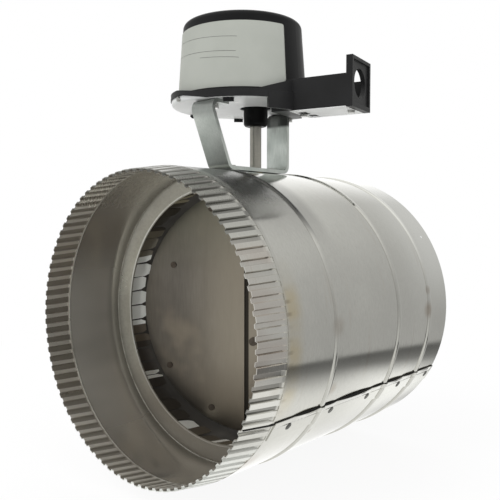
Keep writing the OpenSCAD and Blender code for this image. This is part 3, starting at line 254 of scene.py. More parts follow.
# Painted light and shade on the crimps: shade in the grooves, darker crests above, a paler middle and a
# bright bottom; the last is a brown stain
GROOVE_PAINTED_SHADE = (0.17, 0.168, 0.155)
CREST_PAINTED_DARK = (0.34, 0.335, 0.31)
CREST_PAINTED_SHEEN = (0.75, 0.745, 0.71)
CREST_PAINTED_HIGHLIGHT = (0.88, 0.89, 0.86)
CREST_STAIN = (0.50, 0.42, 0.37)
INSIDE_GREY = (0.60, 0.575, 0.52)
INSIDE_BROWN = (0.50, 0.475, 0.425)
# Painted light low on the left, and painted shade at the top, in front of the ring and behind it
INSIDE_PAINTED_LIGHT = (0.90, 0.865, 0.78)
INSIDE_TOP_SHADE = (0.36, 0.335, 0.29)
SEAT_SHADE = (0.20, 0.19, 0.165)
BEHIND_RING_SHADE = (0.035, 0.030, 0.023)
INSIDE_CRIMPS = (0.86, 0.83, 0.76)
FOLD_BROWN = (0.42, 0.39, 0.34)
RIPPLE_BROWN = (0.30, 0.285, 0.25)

# Marks on the duct, in metres: centre, radius, strength
DUCT_MARKS = [
    ((0.111, -0.2337, -0.0294), 0.006, 0.5),
    ((0.088, -0.168, -0.074), 0.004, 0.8),
    ((0.1149, -0.0355, 0.0015), 0.009, 0.45),
    ((0.1135, -0.0345, 0.018), 0.005, 0.3),
    ((0.1145, -0.170, 0.004), 0.010, 0.25),
    ((0.080, -0.222, -0.083), 0.012, 0.35),
    ((0.106, -0.1665, -0.040), 0.007, 0.35),
]

# Share of the painted shade in the flutes' grooves: height in metres, share
GROOVE_REACH = 0.12
GROOVE_SHADE_SHARES = [(-0.12, 0.0), (-0.0912, 0.05), (-0.072, 0.5), (-0.048, 0.35), (-0.0192, 0.12),
                 (0.0288, 0.08), (0.0552, 0.2), (0.0696, 0.85), (0.12, 0.9)]


def from_axis(t):
    """The way from the duct's axis, which runs along Y, to the point."""
    return t.scaled(t.place, (1.0, 0.0, 1.0))


def inside_share(t):
    """Full where the wall faces the duct's axis."""
    normal = t.node("ShaderNodeNewGeometry").outputs["Normal"]
    return t.span(t.vmath("DOT_PRODUCT", normal, t.vmath("NORMALIZE", from_axis(t))), -0.1, -0.4)


def flute_depth(t, y):
    """Depth below the flutes' crests, which draw in towards the rim."""
    drawn_in = t.span(y, CRIMP_START_Y - 0.8 * MM, RIM_Y, 0.0, CRIMP_DRAW_IN, False)
    return t.math("SUBTRACT", DUCT_R, t.math("ADD", t.vmath("LENGTH", from_axis(t)), drawn_in))


def outside_sheen_and_stains(t, base, y, z, patch):
    """A painted reflection that brightens the flank towards the outlet, then a yellow heat band behind the
    crimps, brown streaks and single marks.
    """
    base = t.mix(t.times(t.span(y, *OUTLET_Y), t.span(z, *OUTLET_Z)), base, OUTLET_PAINTED_SHEEN)
    heat = t.times(t.window(y, *HEAT_Y), t.window(z, *FLANK_Z), t.span(patch, 0.32, 0.62, 0.2, 0.75))
    base = t.mix(heat, base, HEAT_YELLOW)
    streak = t.noise(t.scaled(t.place, (1.0, 9.0, 1.0)), 16.0, 4.0, 0.6)
    base = t.mix(t.span(streak, 0.58, 0.78, 0.0, 0.22), base, STREAK_BROWN)
    for centre, radius, strength in DUCT_MARKS:
        away = t.vmath("DISTANCE", t.place, centre)
        base = t.mix(t.span(away, radius, radius * 0.2, 0.0, strength), base, MARK_BROWN)
    return base


def crown_painted_reflection(t, base, y, z, patch):
    """Painted dark reflection of the black arm on the crown in front of the bracket, and painted shade round
    the first bead there.
    """
    front = t.times(t.span(z, *DARK_REFLECTION_Z), t.window(y, *DARK_REFLECTION_Y))
    rear = t.times(t.span(z, *DARK_REFLECTION_REAR_Z), t.span(y, *DARK_REFLECTION_REAR_Y, 0.0, 0.4))
    dark_patches = t.times(t.math("MAXIMUM", front, rear), t.span(patch, 0.25, 0.7, 0.7, 0.85))
    base = t.mix(dark_patches, base, CROWN_DARK_REFLECTION)
    bead = t.times(t.window(y, *FIRST_BEAD_Y), t.span(z, *FIRST_BEAD_Z, 0.0, 0.92))
    return t.mix(bead, base, BEAD_SHADE)


def flute_spots(t, base, x, y, z, patch):
    """A brown spot behind the end of each flute on the duct's flank."""
    around = t.math("ARCTAN2", z, x)
    spots = t.span(t.math("SINE", t.times(around, CRIMP_COUNT)), 0.2, 0.95)
    spots = t.times(spots, t.window(y, *FLUTE_SPOTS_Y), t.window(z, *FLANK_Z))
    return t.mix(t.times(spots, t.span(patch, 0.42, 0.62, 0.1, 0.75)), base, SPOT_BROWN)


def flute_tones(t, base, x, y, z, patch, crimped, depth):
    """The crimps from outside, with light and shade painted by height: darker crests above, a paler sheen at
    the middle, a bright highlight below, shade in the grooves; and a brown stain on the right.
    """
    base = t.mix(t.times(t.span(y, *CRIMP_ENDS_Y), t.span(z, *DARKENED_CREST_Z, 0.03, 0.55)), base, CREST_PAINTED_DARK)
    grooves = t.times(crimped, t.span(depth, *GROOVE_DEPTH))
    height = t.span(z, -GROOVE_REACH, GROOVE_REACH, smooth=False)
    shade = t.ramp(height, [(0.5 + 0.5 * at / GROOVE_REACH, (share,) * 3) for at, share in GROOVE_SHADE_SHARES])
    base = t.mix(t.times(grooves, shade), base, GROOVE_PAINTED_SHADE)
    base = t.mix(t.times(crimped, t.window(z, *SHEEN_CREST_Z), 0.7), base, CREST_PAINTED_SHEEN)
    base = t.mix(t.times(crimped, t.span(z, *HIGHLIGHT_CREST_Z)), base, CREST_PAINTED_HIGHLIGHT)
    right = t.span(x, *RIGHT_X)
    low_side = t.times(right, t.window(z, *LOW_GROOVE_Z))
    base = t.mix(t.times(grooves, low_side, 0.8), base, GROOVE_PAINTED_SHADE)
    stain = t.times(right, t.window(z, *STAINED_CREST_Z), crimped)
    return t.mix(t.times(stain, t.span(patch, 0.36, 0.6, 0.05, 0.45)), base, CREST_STAIN)


def inside_tones(t, y, z, left, behind, crimped, depth):
    """Browned inside, with painted light low on the left and painted shade at the top, in front of the ring
    and behind it; brown in the folds.
    """
    dark_patches = t.noise(t.scaled(t.place, (1.0, 2.5, 1.0)), 9.0)
    brown = t.mix(t.span(dark_patches, 0.3, 0.7), INSIDE_GREY, INSIDE_BROWN)
    brown = t.mix(t.times(left, t.span(z, *INSIDE_PALE_Z)), brown, INSIDE_PAINTED_LIGHT)
    brown = t.mix(t.times(t.span(z, *INSIDE_TOP_Z), 0.5), brown, INSIDE_TOP_SHADE)
    brown = t.mix(t.times(t.window(y, *RING_SEAT_Y), 0.8), brown, SEAT_SHADE)
    brown = t.mix(behind, brown, BEHIND_RING_SHADE)
    brown = t.mix(t.times(crimped, 0.9), brown, INSIDE_CRIMPS)
    brown = t.mix(t.times(crimped, t.span(depth, *FOLD_DEPTH)), brown, FOLD_BROWN)
    ripple = t.noise(t.scaled(t.place, (1.0, 0.2, 1.0)), 22.0, 2.0)
    return t.mix(t.span(ripple, 0.4, 0.7, 0.0, 0.25), brown, RIPPLE_BROWN)


def duct_tint(t, base):
    """The duct's tints outside and inside, stains among painted light and shade, and how metallic it is: less
    inside, and less still low on the left, in the crimps and behind the ring.
    """
    x, y, z = t.axes(t.place)
    inside, depth = inside_share(t), flute_depth(t, y)
    patch = t.noise(t.scaled(t.place, (1.0, 0.35, 1.0)), 38.0)
    crimped = t.span(y, *CRIMPED_Y)
    behind = t.window(y, *BEHIND_RING_Y)
    left = t.times(t.span(z, *INSIDE_LEFT_Z), t.span(x, *INSIDE_LEFT_X))
    base = outside_sheen_and_stains(t, base, y, z, patch)
    base = crown_painted_reflection(t, base, y, z, patch)
    base = flute_spots(t, base, x, y, z, patch)
    base = flute_tones(t, base, x, y, z, patch, crimped, depth)
    brown = inside_tones(t, y, z, left, behind, crimped, depth)
    loss = t.math("ADD", t.times(t.math("MAXIMUM", left, crimped), 0.15), 0.16)
    loss = t.math("MAXIMUM", loss, t.times(behind, 0.95))
    return t.mix(inside, base, brown), t.math("SUBTRACT", 1.0, t.times(inside, loss))


def duct_wear(t):
    """Rougher on the crown round the bracket, low on the crimps, and on the wall behind the ring."""
    y, z = t.axes(t.place)[1:]
    crown = t.times(t.span(z, *WORN_CROWN_Z), t.span(y, *WORN_CROWN_Y, 0.0, 0.16))
    low = t.times(t.span(y, *WORN_CRIMP_Y), t.span(z, *WORN_CRIMP_Z, 0.0, 0.4))
    behind = t.times(t.window(y, *BEHIND_RING_Y), inside_share(t), 0.6)
    return t.math("MAXIMUM", t.math("ADD", crown, low), behind)


# Where the blade's tints lie, in metres across it from the shaft and in height, and then their colours
BLADE_LIGHT_ACROSS = (-0.075, -0.012)
BLADE_EDGE_ACROSS = ((HALF_PLATE_EDGE - 0.2 * MM, HALF_PLATE_EDGE),
                     (HALF_PLATE_EDGE + 4.2 * MM, HALF_PLATE_EDGE + 3.0 * MM))
BLADE_TOP_Z = (0.02, 0.09)
BLADE_FOOT_Z = (-0.03, -0.085)
# Painted light and shade: a sheen towards the shaft, and shade at the foot and beside the half plate's edge;
# the rest are tints
BLADE_PAINTED_SHEEN = (0.48, 0.425, 0.34)
BLADE_TOP = (0.28, 0.28, 0.215)
BLADE_FOOT_SHADE = (0.20, 0.17, 0.14)
BLADE_WAVE = (0.20, 0.18, 0.155)
BLADE_STAIN = (0.55, 0.47, 0.36)
BLADE_EDGE_SHADE = (0.05, 0.045, 0.038)


def blade_tint(t, base):
    """Painted light and shade: a lighter, browner sheen towards the shaft, darker at the foot, and a painted
    shadow beside the half plate's edge; greenish near the top.
    """
    z = t.axes(t.place)[2]
    turn = math.radians(BLADE_TURN)
    from_shaft = t.vmath("SUBTRACT", t.place, (0.0, SHAFT_Y, 0.0))
    across = t.vmath("DOT_PRODUCT", from_shaft, (math.cos(turn), math.sin(turn), 0.0))
    base = t.mix(t.span(across, *BLADE_LIGHT_ACROSS, 0.0, 0.75), base, BLADE_PAINTED_SHEEN)
    base = t.mix(t.span(z, *BLADE_TOP_Z, 0.0, 0.5), base, BLADE_TOP)
    base = t.mix(t.span(z, *BLADE_FOOT_Z, 0.0, 0.35), base, BLADE_FOOT_SHADE)
    wave = t.noise(t.scaled(t.place, (1.0, 1.0, 0.12)), 34.0)
    base = t.mix(t.span(wave, 0.45, 0.75, 0.0, 0.4), base, BLADE_WAVE)
    stain = t.noise(t.place, 17.0, 3.0, 0.6)
    base = t.mix(t.span(stain, 0.52, 0.72, 0.0, 0.35), base, BLADE_STAIN)
    return t.mix(t.window(across, *BLADE_EDGE_ACROSS), base, BLADE_EDGE_SHADE), None


# Where the strap's tints lie, in metres as for the duct, and their colours
REAR_LEG_Y = (-0.118, -0.110)
REAR_SHADE_Z = (0.1545, 0.1575)
REAR_SHADE_STREAKS_Z = (0.146, 0.154)
FRONT_LEG_Y = (-0.130, -0.136)
FRONT_SHADE_Z = (0.152, 0.159)
REAR_SHADE = (0.07, 0.073, 0.07)
REAR_SHADE_STREAKS = (0.25, 0.26, 0.25)
FRONT_SHADE = (0.28, 0.29, 0.28)


def bracket_tint(t, base):
    """Galvanised strap, darker in the shade of the pan where its legs bend over."""
    y, z = t.axes(t.place)[1:]
    rear = t.span(y, *REAR_LEG_Y)
    base = t.mix(t.times(rear, t.span(z, *REAR_SHADE_Z)), base, REAR_SHADE)
    # Streaks of painted shade below the rear leg's bend
    streak = t.noise(t.scaled(t.place, (1.0, 1.0, 0.25)), 90.0)
    streak = t.times(t.span(streak, 0.45, 0.65, 0.0, 0.5), t.span(z, *REAR_SHADE_STREAKS_Z))
    base = t.mix(t.times(rear, streak), base, REAR_SHADE_STREAKS)
    front = t.times(t.span(y, *FRONT_LEG_Y), t.span(z, *FRONT_SHADE_Z, 0.0, 0.6))
    return t.mix(front, base, FRONT_SHADE), None


# Where the tints of the leaves, the ring and the ridges lie, in metres as for the duct, and their colours
LEAVES_Y = (-0.1717, -0.1700)
RING_LOW_Z = (-0.02, -0.08)
RING_FACE_LOW_Z = (-0.02, -0.085)
RIDGE_HIGH_Z = (0.04, 0.09)
# Painted shade: low on the ring and on its face, high on the ridges
RING_LOW_SHADE = (0.40, 0.375, 0.33)
RING_FACE_LOW_SHADE = (0.30, 0.275, 0.245)
RIDGE_HIGH_SHADE = (0.30, 0.285, 0.25)

# Colour of the leaves from an angle round the ring on, counted from +X by way of the top, in degrees: heat
# tints, with painted reflections on the bright leaves and painted shade on the near-black ones
LEAF_HEAT_AND_LIGHT_TONES = [
    (0, (0.20, 0.165, 0.12)),
    (100, (0.05, 0.042, 0.03)),
    (111, (0.40, 0.36, 0.25)),
    (117, (0.05, 0.042, 0.03)),
    (139, (0.17, 0.15, 0.11)),
    (154, (0.88, 0.89, 0.85)),
    (189.5, (0.12, 0.095, 0.065)),
    (197, (0.05, 0.04, 0.03)),
    (213, (0.75, 0.74, 0.68)),
    (217, (0.045, 0.038, 0.03)),
    (244, (0.85, 0.85, 0.80)),
    (251, (0.09, 0.075, 0.055)),
    (266, (0.78, 0.76, 0.70)),
    (269, (0.12, 0.10, 0.07)),
    (277, (0.8, 0.78, 0.72)),
    (280, (0.16, 0.13, 0.09)),
]


def leaf_tint(t, base):
    """Each leaf has its own tone: heat tint, some brown, with painted reflections on the bright leaves and
    painted shade on the near-black ones; the ring is darker towards the bottom in painted shade.
    """
    x, y, z = t.axes(t.place)
    turn = t.math("DIVIDE", t.math("ARCTAN2", z, x), FULL_TURN)
    turn = t.math("FRACT", t.math("ADD", turn, 1.0))
    tones = t.ramp(turn, [(angle / 360, colour) for angle, colour in LEAF_HEAT_AND_LIGHT_TONES], "CONSTANT")
    leaves = t.span(y, *LEAVES_Y)
    base = t.mix(t.span(z, *RING_LOW_Z, 0.0, 0.55), base, RING_LOW_SHADE)
    return t.mix(leaves, base, tones), t.math("SUBTRACT", 1.0, t.times(leaves, 0.75))


def leaf_wear(t):
    """The scaled leaves are duller than the ring."""
    return t.span(t.axes(t.place)[1], *LEAVES_Y, 0.0, 0.3)


def ring_tint(t, base):
    """Painted shade, darker towards the bottom."""
    return t.mix(t.span(t.axes(t.place)[2], *RING_FACE_LOW_Z, 0.0, 0.85), base, RING_FACE_LOW_SHADE), None


def ridge_tint(t, base):
    """Painted shade, darker towards the top."""
    return t.mix(t.span(t.axes(t.place)[2], *RIDGE_HIGH_Z, 0.0, 0.6), base, RIDGE_HIGH_SHADE), None


MATS = {
    "duct_steel": metal("duct_steel", (0.67, 0.665, 0.625), (0.61, 0.605, 0.57), 0.115, 0.025,
                        (1.0, 6.0, 1.0), 260.0, 0.01 * MM, 14.0, duct_tint, duct_wear),
    "ring_steel": metal("ring_steel", (0.66, 0.66, 0.62), (0.55, 0.54, 0.49), 0.3, 0.06,
                        grain_scale=300.0, mottle=30.0, tint=leaf_tint, worn=leaf_wear),
    "ring_face_steel": metal("ring_face_steel", (0.71, 0.71, 0.665), (0.61, 0.60, 0.555), 0.32, 0.05,
                             tint=ring_tint),
    "ridge_steel": metal("ridge_steel", (0.74, 0.73, 0.68), (0.42, 0.40, 0.36), 0.34, 0.08,
                         mottle=60.0, tint=ridge_tint),
    "blade_steel": metal("blade_steel", (0.27, 0.25, 0.22), (0.215, 0.195, 0.17), 0.36, 0.05,
                         (6.0, 6.0, 0.6), 120.0, 0.015 * MM, 18.0, blade_tint),
    "shaft_steel": metal("shaft_steel", (0.50, 0.48, 0.42), (0.38, 0.37, 0.34), 0.34, 0.05,
                         (1.0, 1.0, 8.0), 300.0, 0.02 * MM, 40.0),
    "bracket_zinc": metal("bracket_zinc", (0.76, 0.80, 0.765), (0.60, 0.645, 0.61), 0.40, 0.06,
                          (8.0, 8.0, 0.8), 160.0, 0.02 * MM, 45.0, bracket_tint),
    "fasteners": metal("fasteners", (0.66, 0.66, 0.64), (0.52, 0.52, 0.50), 0.3, 0.06),
    "rivet_dark": metal("rivet_dark", (0.20, 0.20, 0.19), (0.12, 0.12, 0.115), 0.45, 0.05),
    "rivet_brown": metal("rivet_brown", (0.17, 0.145, 0.12), (0.11, 0.09, 0.075), 0.45, 0.05),
    "motor_steel": metal("motor_steel", (0.70, 0.71, 0.70), (0.60, 0.61, 0.60), 0.35, 0.06),
    "brass": metal("brass", (0.70, 0.53, 0.24), (0.58, 0.42, 0.18), 0.32, 0.06),
    "black_plastic": plastic("black_plastic", (0.012, 0.012, 0.0125), (0.017, 0.017, 0.018), 0.42,
                             gloss=0.28),
    "cover_plastic": plastic("cover_plastic", (0.008, 0.008, 0.0084), (0.012, 0.012, 0.0127), 0.38,
                             gloss=0.13),
    "black_rubbery": plastic("black_rubbery", (0.003, 0.003, 0.003), (0.005, 0.005, 0.005), 0.4,
                             edge=0.8 * MM, gloss=0.12),
    "nylon": plastic("nylon", (0.82, 0.81, 0.75), (0.76, 0.75, 0.68), 0.4),
    "board_laminate": plastic("board_laminate", (0.05, 0.20, 0.09), (0.04, 0.16, 0.07), 0.3),
    "white_metal": plastic("white_metal", (0.80, 0.81, 0.80), (0.75, 0.76, 0.75), 0.38,
                           700.0, 0.01 * MM, 0.3 * MM),
    "label_paper": plastic("label_paper", (0.395, 0.410, 0.372), (0.370, 0.385, 0.348), 0.5,
                           1500.0, 0.006 * MM, 0.05 * MM),
    "print_grey": plastic("print_grey", (0.13, 0.135, 0.125), (0.17, 0.175, 0.165), 0.5),
    # Dark matte used for the painted shade in the seam's gap
    "gap_shade": plastic("gap_shade", (0.010, 0.010, 0.009), (0.016, 0.015, 0.014), 0.9),
}

NODES_BY_MATERIAL = {
    "duct_steel": ["duct_shell"],
    "ring_steel": ["leaf_ring"],
    "blade_steel": ["blade_disc", "blade_half_plate"],
    "shaft_steel": ["damper_shaft", "output_shaft", "idler_pin"],
    "bracket_zinc": ["mounting_bracket", "board_bracket"],
    "rivet_dark": ["seam_rivets"],
    "rivet_brown": ["blade_rivets", "blade_screws"],
    "motor_steel": ["gear_motor"],
    "brass": ["upper_bushing", "lower_bushing", "motor_pinion"],
    "fasteners": ["bracket_rivets", "bracket_screws", "arm_floor_screws", "pan_wall_screws", "cover_screws",
                  "lower_gear_plate", "upper_gear_plate", "gear_posts", "gear_plate_screws", "motor_screws",
                  "board_screws", "shaft_clip", "closed_switch_lever", "open_switch_lever"],
    "white_metal": ["base_pan", "arm_floor_plate"],
    "cover_plastic": ["actuator_cover"],
    "black_plastic": ["arm_housing", "closed_switch", "open_switch", "board_relay"],
    "black_rubbery": ["shaft_coupling", "coupling_set_screw"],
    "nylon": ["output_gear", "idler_gear", "switch_cam", "wire_terminals"],
    "board_laminate": ["relay_board"],
}
MATERIAL_OF = {node: key for key, nodes in NODES_BY_MATERIAL.items() for node in nodes}

for node_name, node_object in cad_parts.items():
    node_material = MATS[MATERIAL_OF[node_name]]
    if not node_object.material_slots:
        node_object.data.materials.append(node_material)
    for material_slot in node_object.material_slots:
        material_slot.material = node_material


# Mesh pieces

def mesh_piece(name, verts, faces, mat, body="damper_body"):
    mesh = bpy.data.meshes.new(name)
    mesh.from_pydata(verts, [], faces)
    mesh.validate()
    mesh.polygons.foreach_set("use_smooth", [True] * len(mesh.polygons))
    mesh.materials.append(MATS[mat])
    obj = bpy.data.objects.new(name, mesh)
    bpy.context.collection.objects.link(obj)
    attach(obj, body)


def grid_faces(rows, cols, close=False):
    """Faces between rows of points, each row closed into a ring or open."""
    out = []
    for j in range(rows - 1):
        for i in range(cols if close else cols - 1):
            a, b = j * cols + i, j * cols + (i + 1) % cols
            out.append((a, b, b + cols, a + cols))
    return out


def flipped(faces):
    return [tuple(reversed(face)) for face in faces]


def shifted(faces, first):
    return [tuple(first + k for k in face) for face in faces]


def rod_faces(rings, sides):
    """Faces of a rod made of rings of points, with a cap on each end."""
    caps = [tuple(reversed(range(sides))), tuple(range((rings - 1) * sides, rings * sides))]
    return grid_faces(rings, sides, True) + caps


def torus_faces(turns, sides):
    """Faces of a closed profile of so many sides, carried all the way round."""
    return [(i * sides + k, i * sides + (k + 1) % sides, (i + 1) % turns * sides + (k + 1) % sides,
             (i + 1) % turns * sides + k) for i in range(turns) for k in range(sides)]


# Label and floor plate, placed in the actuator's turned frame

LABEL_Z = (0.1763, 0.2266)
LABEL_AZIMUTHS = (-166.0, -19.0)
LABEL_CORNER = 1.6 * MM
LABEL_THICK = 0.12 * MM
LABEL_LIFT = 0.03 * MM
LABEL_ROWS = 26
LABEL_COLS = 110

# Blank rules on the label: azimuth in degrees and height in mm of each end
LABEL_RULES = [
    ((-150, 217.9), (-63.5, 214.25)),
    ((-150, 206.9), (-64.5, 203.25)),
    ((-98.5, 200.25), (-62, 198.25)),
]
RULE_STEPS = 40

# Section of a rule, in mm: place above its middle line, and lift off the cover
RULE_SECTION = [(-0.14, 0.14), (-0.14, 0.175), (0.14, 0.175), (0.14, 0.14)]

# Outline of the plate under the arm, in mm: its start and end along the arm, and its middle and width across
PLATE_ALONG = (44.0, 90.18)
PLATE_ACROSS = -5.5
PLATE_W = 37.0
PLATE_CORNER_R = 0.6

# Its slots, in mm: middle along and across, size along and across, corner radius
PLATE_SLOTS = [(49.6, -10.0, 8.0, 12.0, 1.5), (51.2, 5.4, 7.5, 13.0, 1.5)]

# Its sheet, with slightly rounded edges
PLATE_THICK = 0.6 * MM
PLATE_ROUND = 0.08 * MM


def actuator_point(r, azimuth, z):
    """A point at a radius and azimuth about the pan's middle, in the part's frame."""
    a = math.radians(azimuth)
    x, y = PAN_CENTRE[0] + r * math.cos(a), PAN_CENTRE[1] + r * math.sin(a)
    t = math.radians(ACTUATOR_TURN)
    return (x * math.cos(t) - y * math.sin(t), x * math.sin(t) + y * math.cos(t) + SHAFT_Y, z)


def cover_radius(z):
    return COVER_FOOT_R - COVER_DRAFT * (z - COVER_FOOT_Z)


def label_shell(lift):
    """Grid of points round the cover, at a height off it, drawn in at the label's rounded corners."""
    low, high = LABEL_Z
    left, right = LABEL_AZIMUTHS
    points = []
    for j in range(LABEL_ROWS):
        v = 0.5 - 0.5 * math.cos(math.pi * j / (LABEL_ROWS - 1))
        z = low + (high - low) * v
        into_corner = max(LABEL_CORNER - min(z - low, high - z), 0.0)
        cut = LABEL_CORNER - math.sqrt(max(LABEL_CORNER ** 2 - into_corner ** 2, 0.0))
        r = cover_radius(z) + lift
        cut_angle = math.degrees(cut / r)
        for i in range(LABEL_COLS):
            azimuth = left + cut_angle + (right - left - 2 * cut_angle) * i / (LABEL_COLS - 1)
            points.append(actuator_point(r, azimuth, z))
    return points


def cover_label():
    """Bare label wrapped round the cover's near side, with rounded corners and a thin edge."""
    rows, cols = LABEL_ROWS, LABEL_COLS
    n = rows * cols
    sheet = grid_faces(rows, cols)
    rim = list(range(cols)) + [j * cols + cols - 1 for j in range(1, rows)]
    rim += [(rows - 1) * cols + i for i in range(cols - 2, -1, -1)]
    rim += [j * cols for j in range(rows - 2, 0, -1)]
    edge = [(a, b, b + n, a + n) for a, b in zip(rim, rim[1:] + rim[:1])]
    verts = label_shell(LABEL_LIFT) + label_shell(LABEL_LIFT + LABEL_THICK)
    faces = shifted(sheet, n) + flipped(sheet) + edge
    mesh_piece("cover_label", verts, faces, "label_paper")


def label_rules():
    """Blank ruled lines on the label, printed in grey."""
    verts, faces = [], []
    for (start_a, start_z), (end_a, end_z) in LABEL_RULES:
        faces += shifted(rod_faces(RULE_STEPS, len(RULE_SECTION)), len(verts))
        for i in range(RULE_STEPS):
            q = i / (RULE_STEPS - 1)
            azimuth, middle = start_a + (end_a - start_a) * q, start_z + (end_z - start_z) * q
            for up, lift in RULE_SECTION:
                z = (middle + up) * MM
                verts.append(actuator_point(cover_radius(z) + lift * MM, azimuth, z))
    mesh_piece("label_rules", verts, faces, "print_grey")


def rounded(along, across, size_along, size_across, r, steps=6):
    """Outline of a rectangle with rounded corners."""
    out = []
    for k, (side_a, side_b) in enumerate(((1, 1), (-1, 1), (-1, -1), (1, -1))):
        for i in range(steps + 1):
            a = math.radians(90 * (k + i / steps))
            out.append((along + side_a * (size_along / 2 - r) + r * math.cos(a),
                        across + side_b * (size_across / 2 - r) + r * math.sin(a)))
    return out


def floor_plate():
    """The pale plate under the arm, with its slots as open as they look from below."""
    curve = bpy.data.curves.new("floor_plate", "CURVE")
    curve.dimensions = "2D"
    curve.fill_mode = "BOTH"
    curve.extrude = PLATE_THICK / 2 - PLATE_ROUND
    curve.bevel_depth = PLATE_ROUND
    start, end = PLATE_ALONG
    outline = rounded((start + end) / 2, PLATE_ACROSS, end - start, PLATE_W, PLATE_CORNER_R)
    for points in [outline] + [rounded(*slot) for slot in PLATE_SLOTS]:
        spline = curve.splines.new("POLY")
        spline.points.add(len(points) - 1)
        spline.use_cyclic_u = True
        for point, (along, across) in zip(spline.points, points):
            point.co = (along * MM, across * MM, 0.0, 1.0)
    curve.materials.append(MATS["white_metal"])
    obj = bpy.data.objects.new("floor_plate", curve)
    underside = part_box("arm_floor_plate")[0][2]
    obj.location = (0.0, SHAFT_Y, underside + PLATE_THICK / 2)
    obj.rotation_euler = (0.0, 0.0, math.radians(ACTUATOR_TURN))
    bpy.context.collection.objects.link(obj)
    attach(obj, "damper_body")
    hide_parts("arm_floor_plate")


# Lap seam and the duct's small trims

# Places along the seam where its free edge is held down, by crimps, beads and rivets, and its rise between
# each two of them in mm
SEAM_HOLDS = [-0.2236, -0.2035, -0.172, -0.154, -0.105, -0.0845, -0.0555, -0.0325, -0.0075, 0.0]
SEAM_BULGES = [0.15, 1.1, 0.75, 1.35, 0.5, 1.1, 0.9, 0.5, 0.3]
SEAM_BULGE_CURVE = 0.8
SEAM_STEPS = 260
SEAM_Y = (-0.2232, -0.0004)
SEAM_GAP_MOST = 1.2 * MM
SEAM_CLEAR = 0.02 * MM

# The lip: its height at the free edge when held down, how it flattens, the angles it starts at and covers in
# degrees, how deep it is at its free edge and at its root, and the shares of its width where it has points
LIP_H = 0.35 * MM
LIP_CURVE = 1.7
LIP_START_ANGLE = SEAM_ANGLE - 0.12
LIP_ANGLE = 2.55
LIP_DEPTH = (0.4 * MM, 0.6 * MM)
LIP_ACROSS = [0.0, 0.06, 0.16, 0.3, 0.46, 0.64, 0.82, 1.0]

# The lap's front line of painted shade: its start and end, and its half width in degrees at each
LAP_FRONT_Y = (RIM_Y + 0.4 * MM, CRIMP_START_Y + 3.0 * MM)
LAP_FRONT_HALF_W = (0.22, 0.34)
LAP_FRONT_STEPS = 24

# Section of that line: lift off the duct in mm, and the side it lies on
LAP_FRONT_SECTION = [(-0.2, -1), (0.3, -1), (0.45, 1), (-0.2, 1)]

# The punched mark near the outlet: its place in metres, and the radius and lift of its rings in mm
PUNCH_MARK = Vector((0.0972, -0.0137, 0.0613))
PUNCH_RINGS = [(0.0, 0.12), (0.9, 0.12), (1.2, -0.08)]
PUNCH_SIDES = 16

# Profiles in mm: radius and height of a seam rivet's rim, and radius and place along Y of the ring's face
RIVET_RIM = [(1.7, 0.02), (1.9, 0.30), (2.45, 0.24), (2.75, 0.02), (2.75, -0.05), (1.7, -0.05)]
RIVET_RIM_SIDES = 20
RING_FACE = [(114.05, -174.75), (113.3, -174.75), (112.2, -174.45), (110.0, -173.9), (106.0, -173.1),
             (102.0, -172.65), (100.4, -172.5)]
RING_FACE_THICK = 0.18
RIDGE_SIDES = 10


def bead_rise(y):
    """Height of the rolled beads above the duct's plain wall at a place along it."""
    for bead_y in BEAD_YS:
        away = abs(y - bead_y)
        if away <= BEAD_CROWN_HALF_W:
            return BEAD_H * (1.0 - BEAD_CROWN_FALL * away / BEAD_CROWN_HALF_W)
        if away <= BEAD_HALF_W:
            slope = (BEAD_HALF_W - away) / (BEAD_HALF_W - BEAD_CROWN_HALF_W)
            return BEAD_H * (1.0 - BEAD_CROWN_FALL) * slope
    return 0.0


def seam_bulge(y):
    """How far the lap's free edge stands off at a place along the seam."""
    for start, end, bulge in zip(SEAM_HOLDS, SEAM_HOLDS[1:], SEAM_BULGES):
        if start <= y <= end:
            return bulge * MM * math.sin(math.pi * (y - start) / (end - start)) ** SEAM_BULGE_CURVE
    return 0.0


def duct_point(r, below, y):
    """A point on the +X side at an angle below the horizontal."""
    a = math.radians(below)
    return (r * math.cos(a), y, -r * math.sin(a))


def lip_section(y):
    """Radius and angle of the lip's section: its top, sprung off the duct, and back along its underside."""
    foot = DUCT_R + SHEET + bead_rise(y) + SEAM_CLEAR
    rise = LIP_H + seam_bulge(y)
    free, root = LIP_DEPTH
    top = [(foot + rise * (1 - q) ** LIP_CURVE, LIP_START_ANGLE + LIP_ANGLE * q) for q in LIP_ACROSS]
    under = [(r - free - (root - free) * q, angle) for (r, angle), q in zip(top, LIP_ACROSS)]
    return top + under[::-1]


def gap_shade_section(y):
    """Radius and angle of the dark sheet of painted shade that closes the gap under the lip."""
    wall = DUCT_R + bead_rise(y) + 0.03 * MM
    foot = DUCT_R + SHEET + bead_rise(y) + SEAM_CLEAR
    open_angle = math.degrees(min(seam_bulge(y), SEAM_GAP_MOST) / DUCT_R)
    return [(wall, SEAM_ANGLE - 0.25 - 0.3 * open_angle), (wall + SEAM_CLEAR, SEAM_ANGLE - 0.02),
            (foot, SEAM_ANGLE - 0.02), (foot, SEAM_ANGLE + 2.2),
            (foot - 0.2 * MM, SEAM_ANGLE + 2.2), (wall - 0.1 * MM, SEAM_ANGLE + 0.5)]


def along_seam(name, section, mat):
    """A section that changes along the seam, carried from its start to the outlet."""
    start, end = SEAM_Y
    verts = []
    for j in range(SEAM_STEPS):
        y = start + (end - start) * j / (SEAM_STEPS - 1)
        verts += [duct_point(r, angle, y) for r, angle in section(y)]
    mesh_piece(name, verts, flipped(rod_faces(SEAM_STEPS, len(verts) // SEAM_STEPS)), mat)


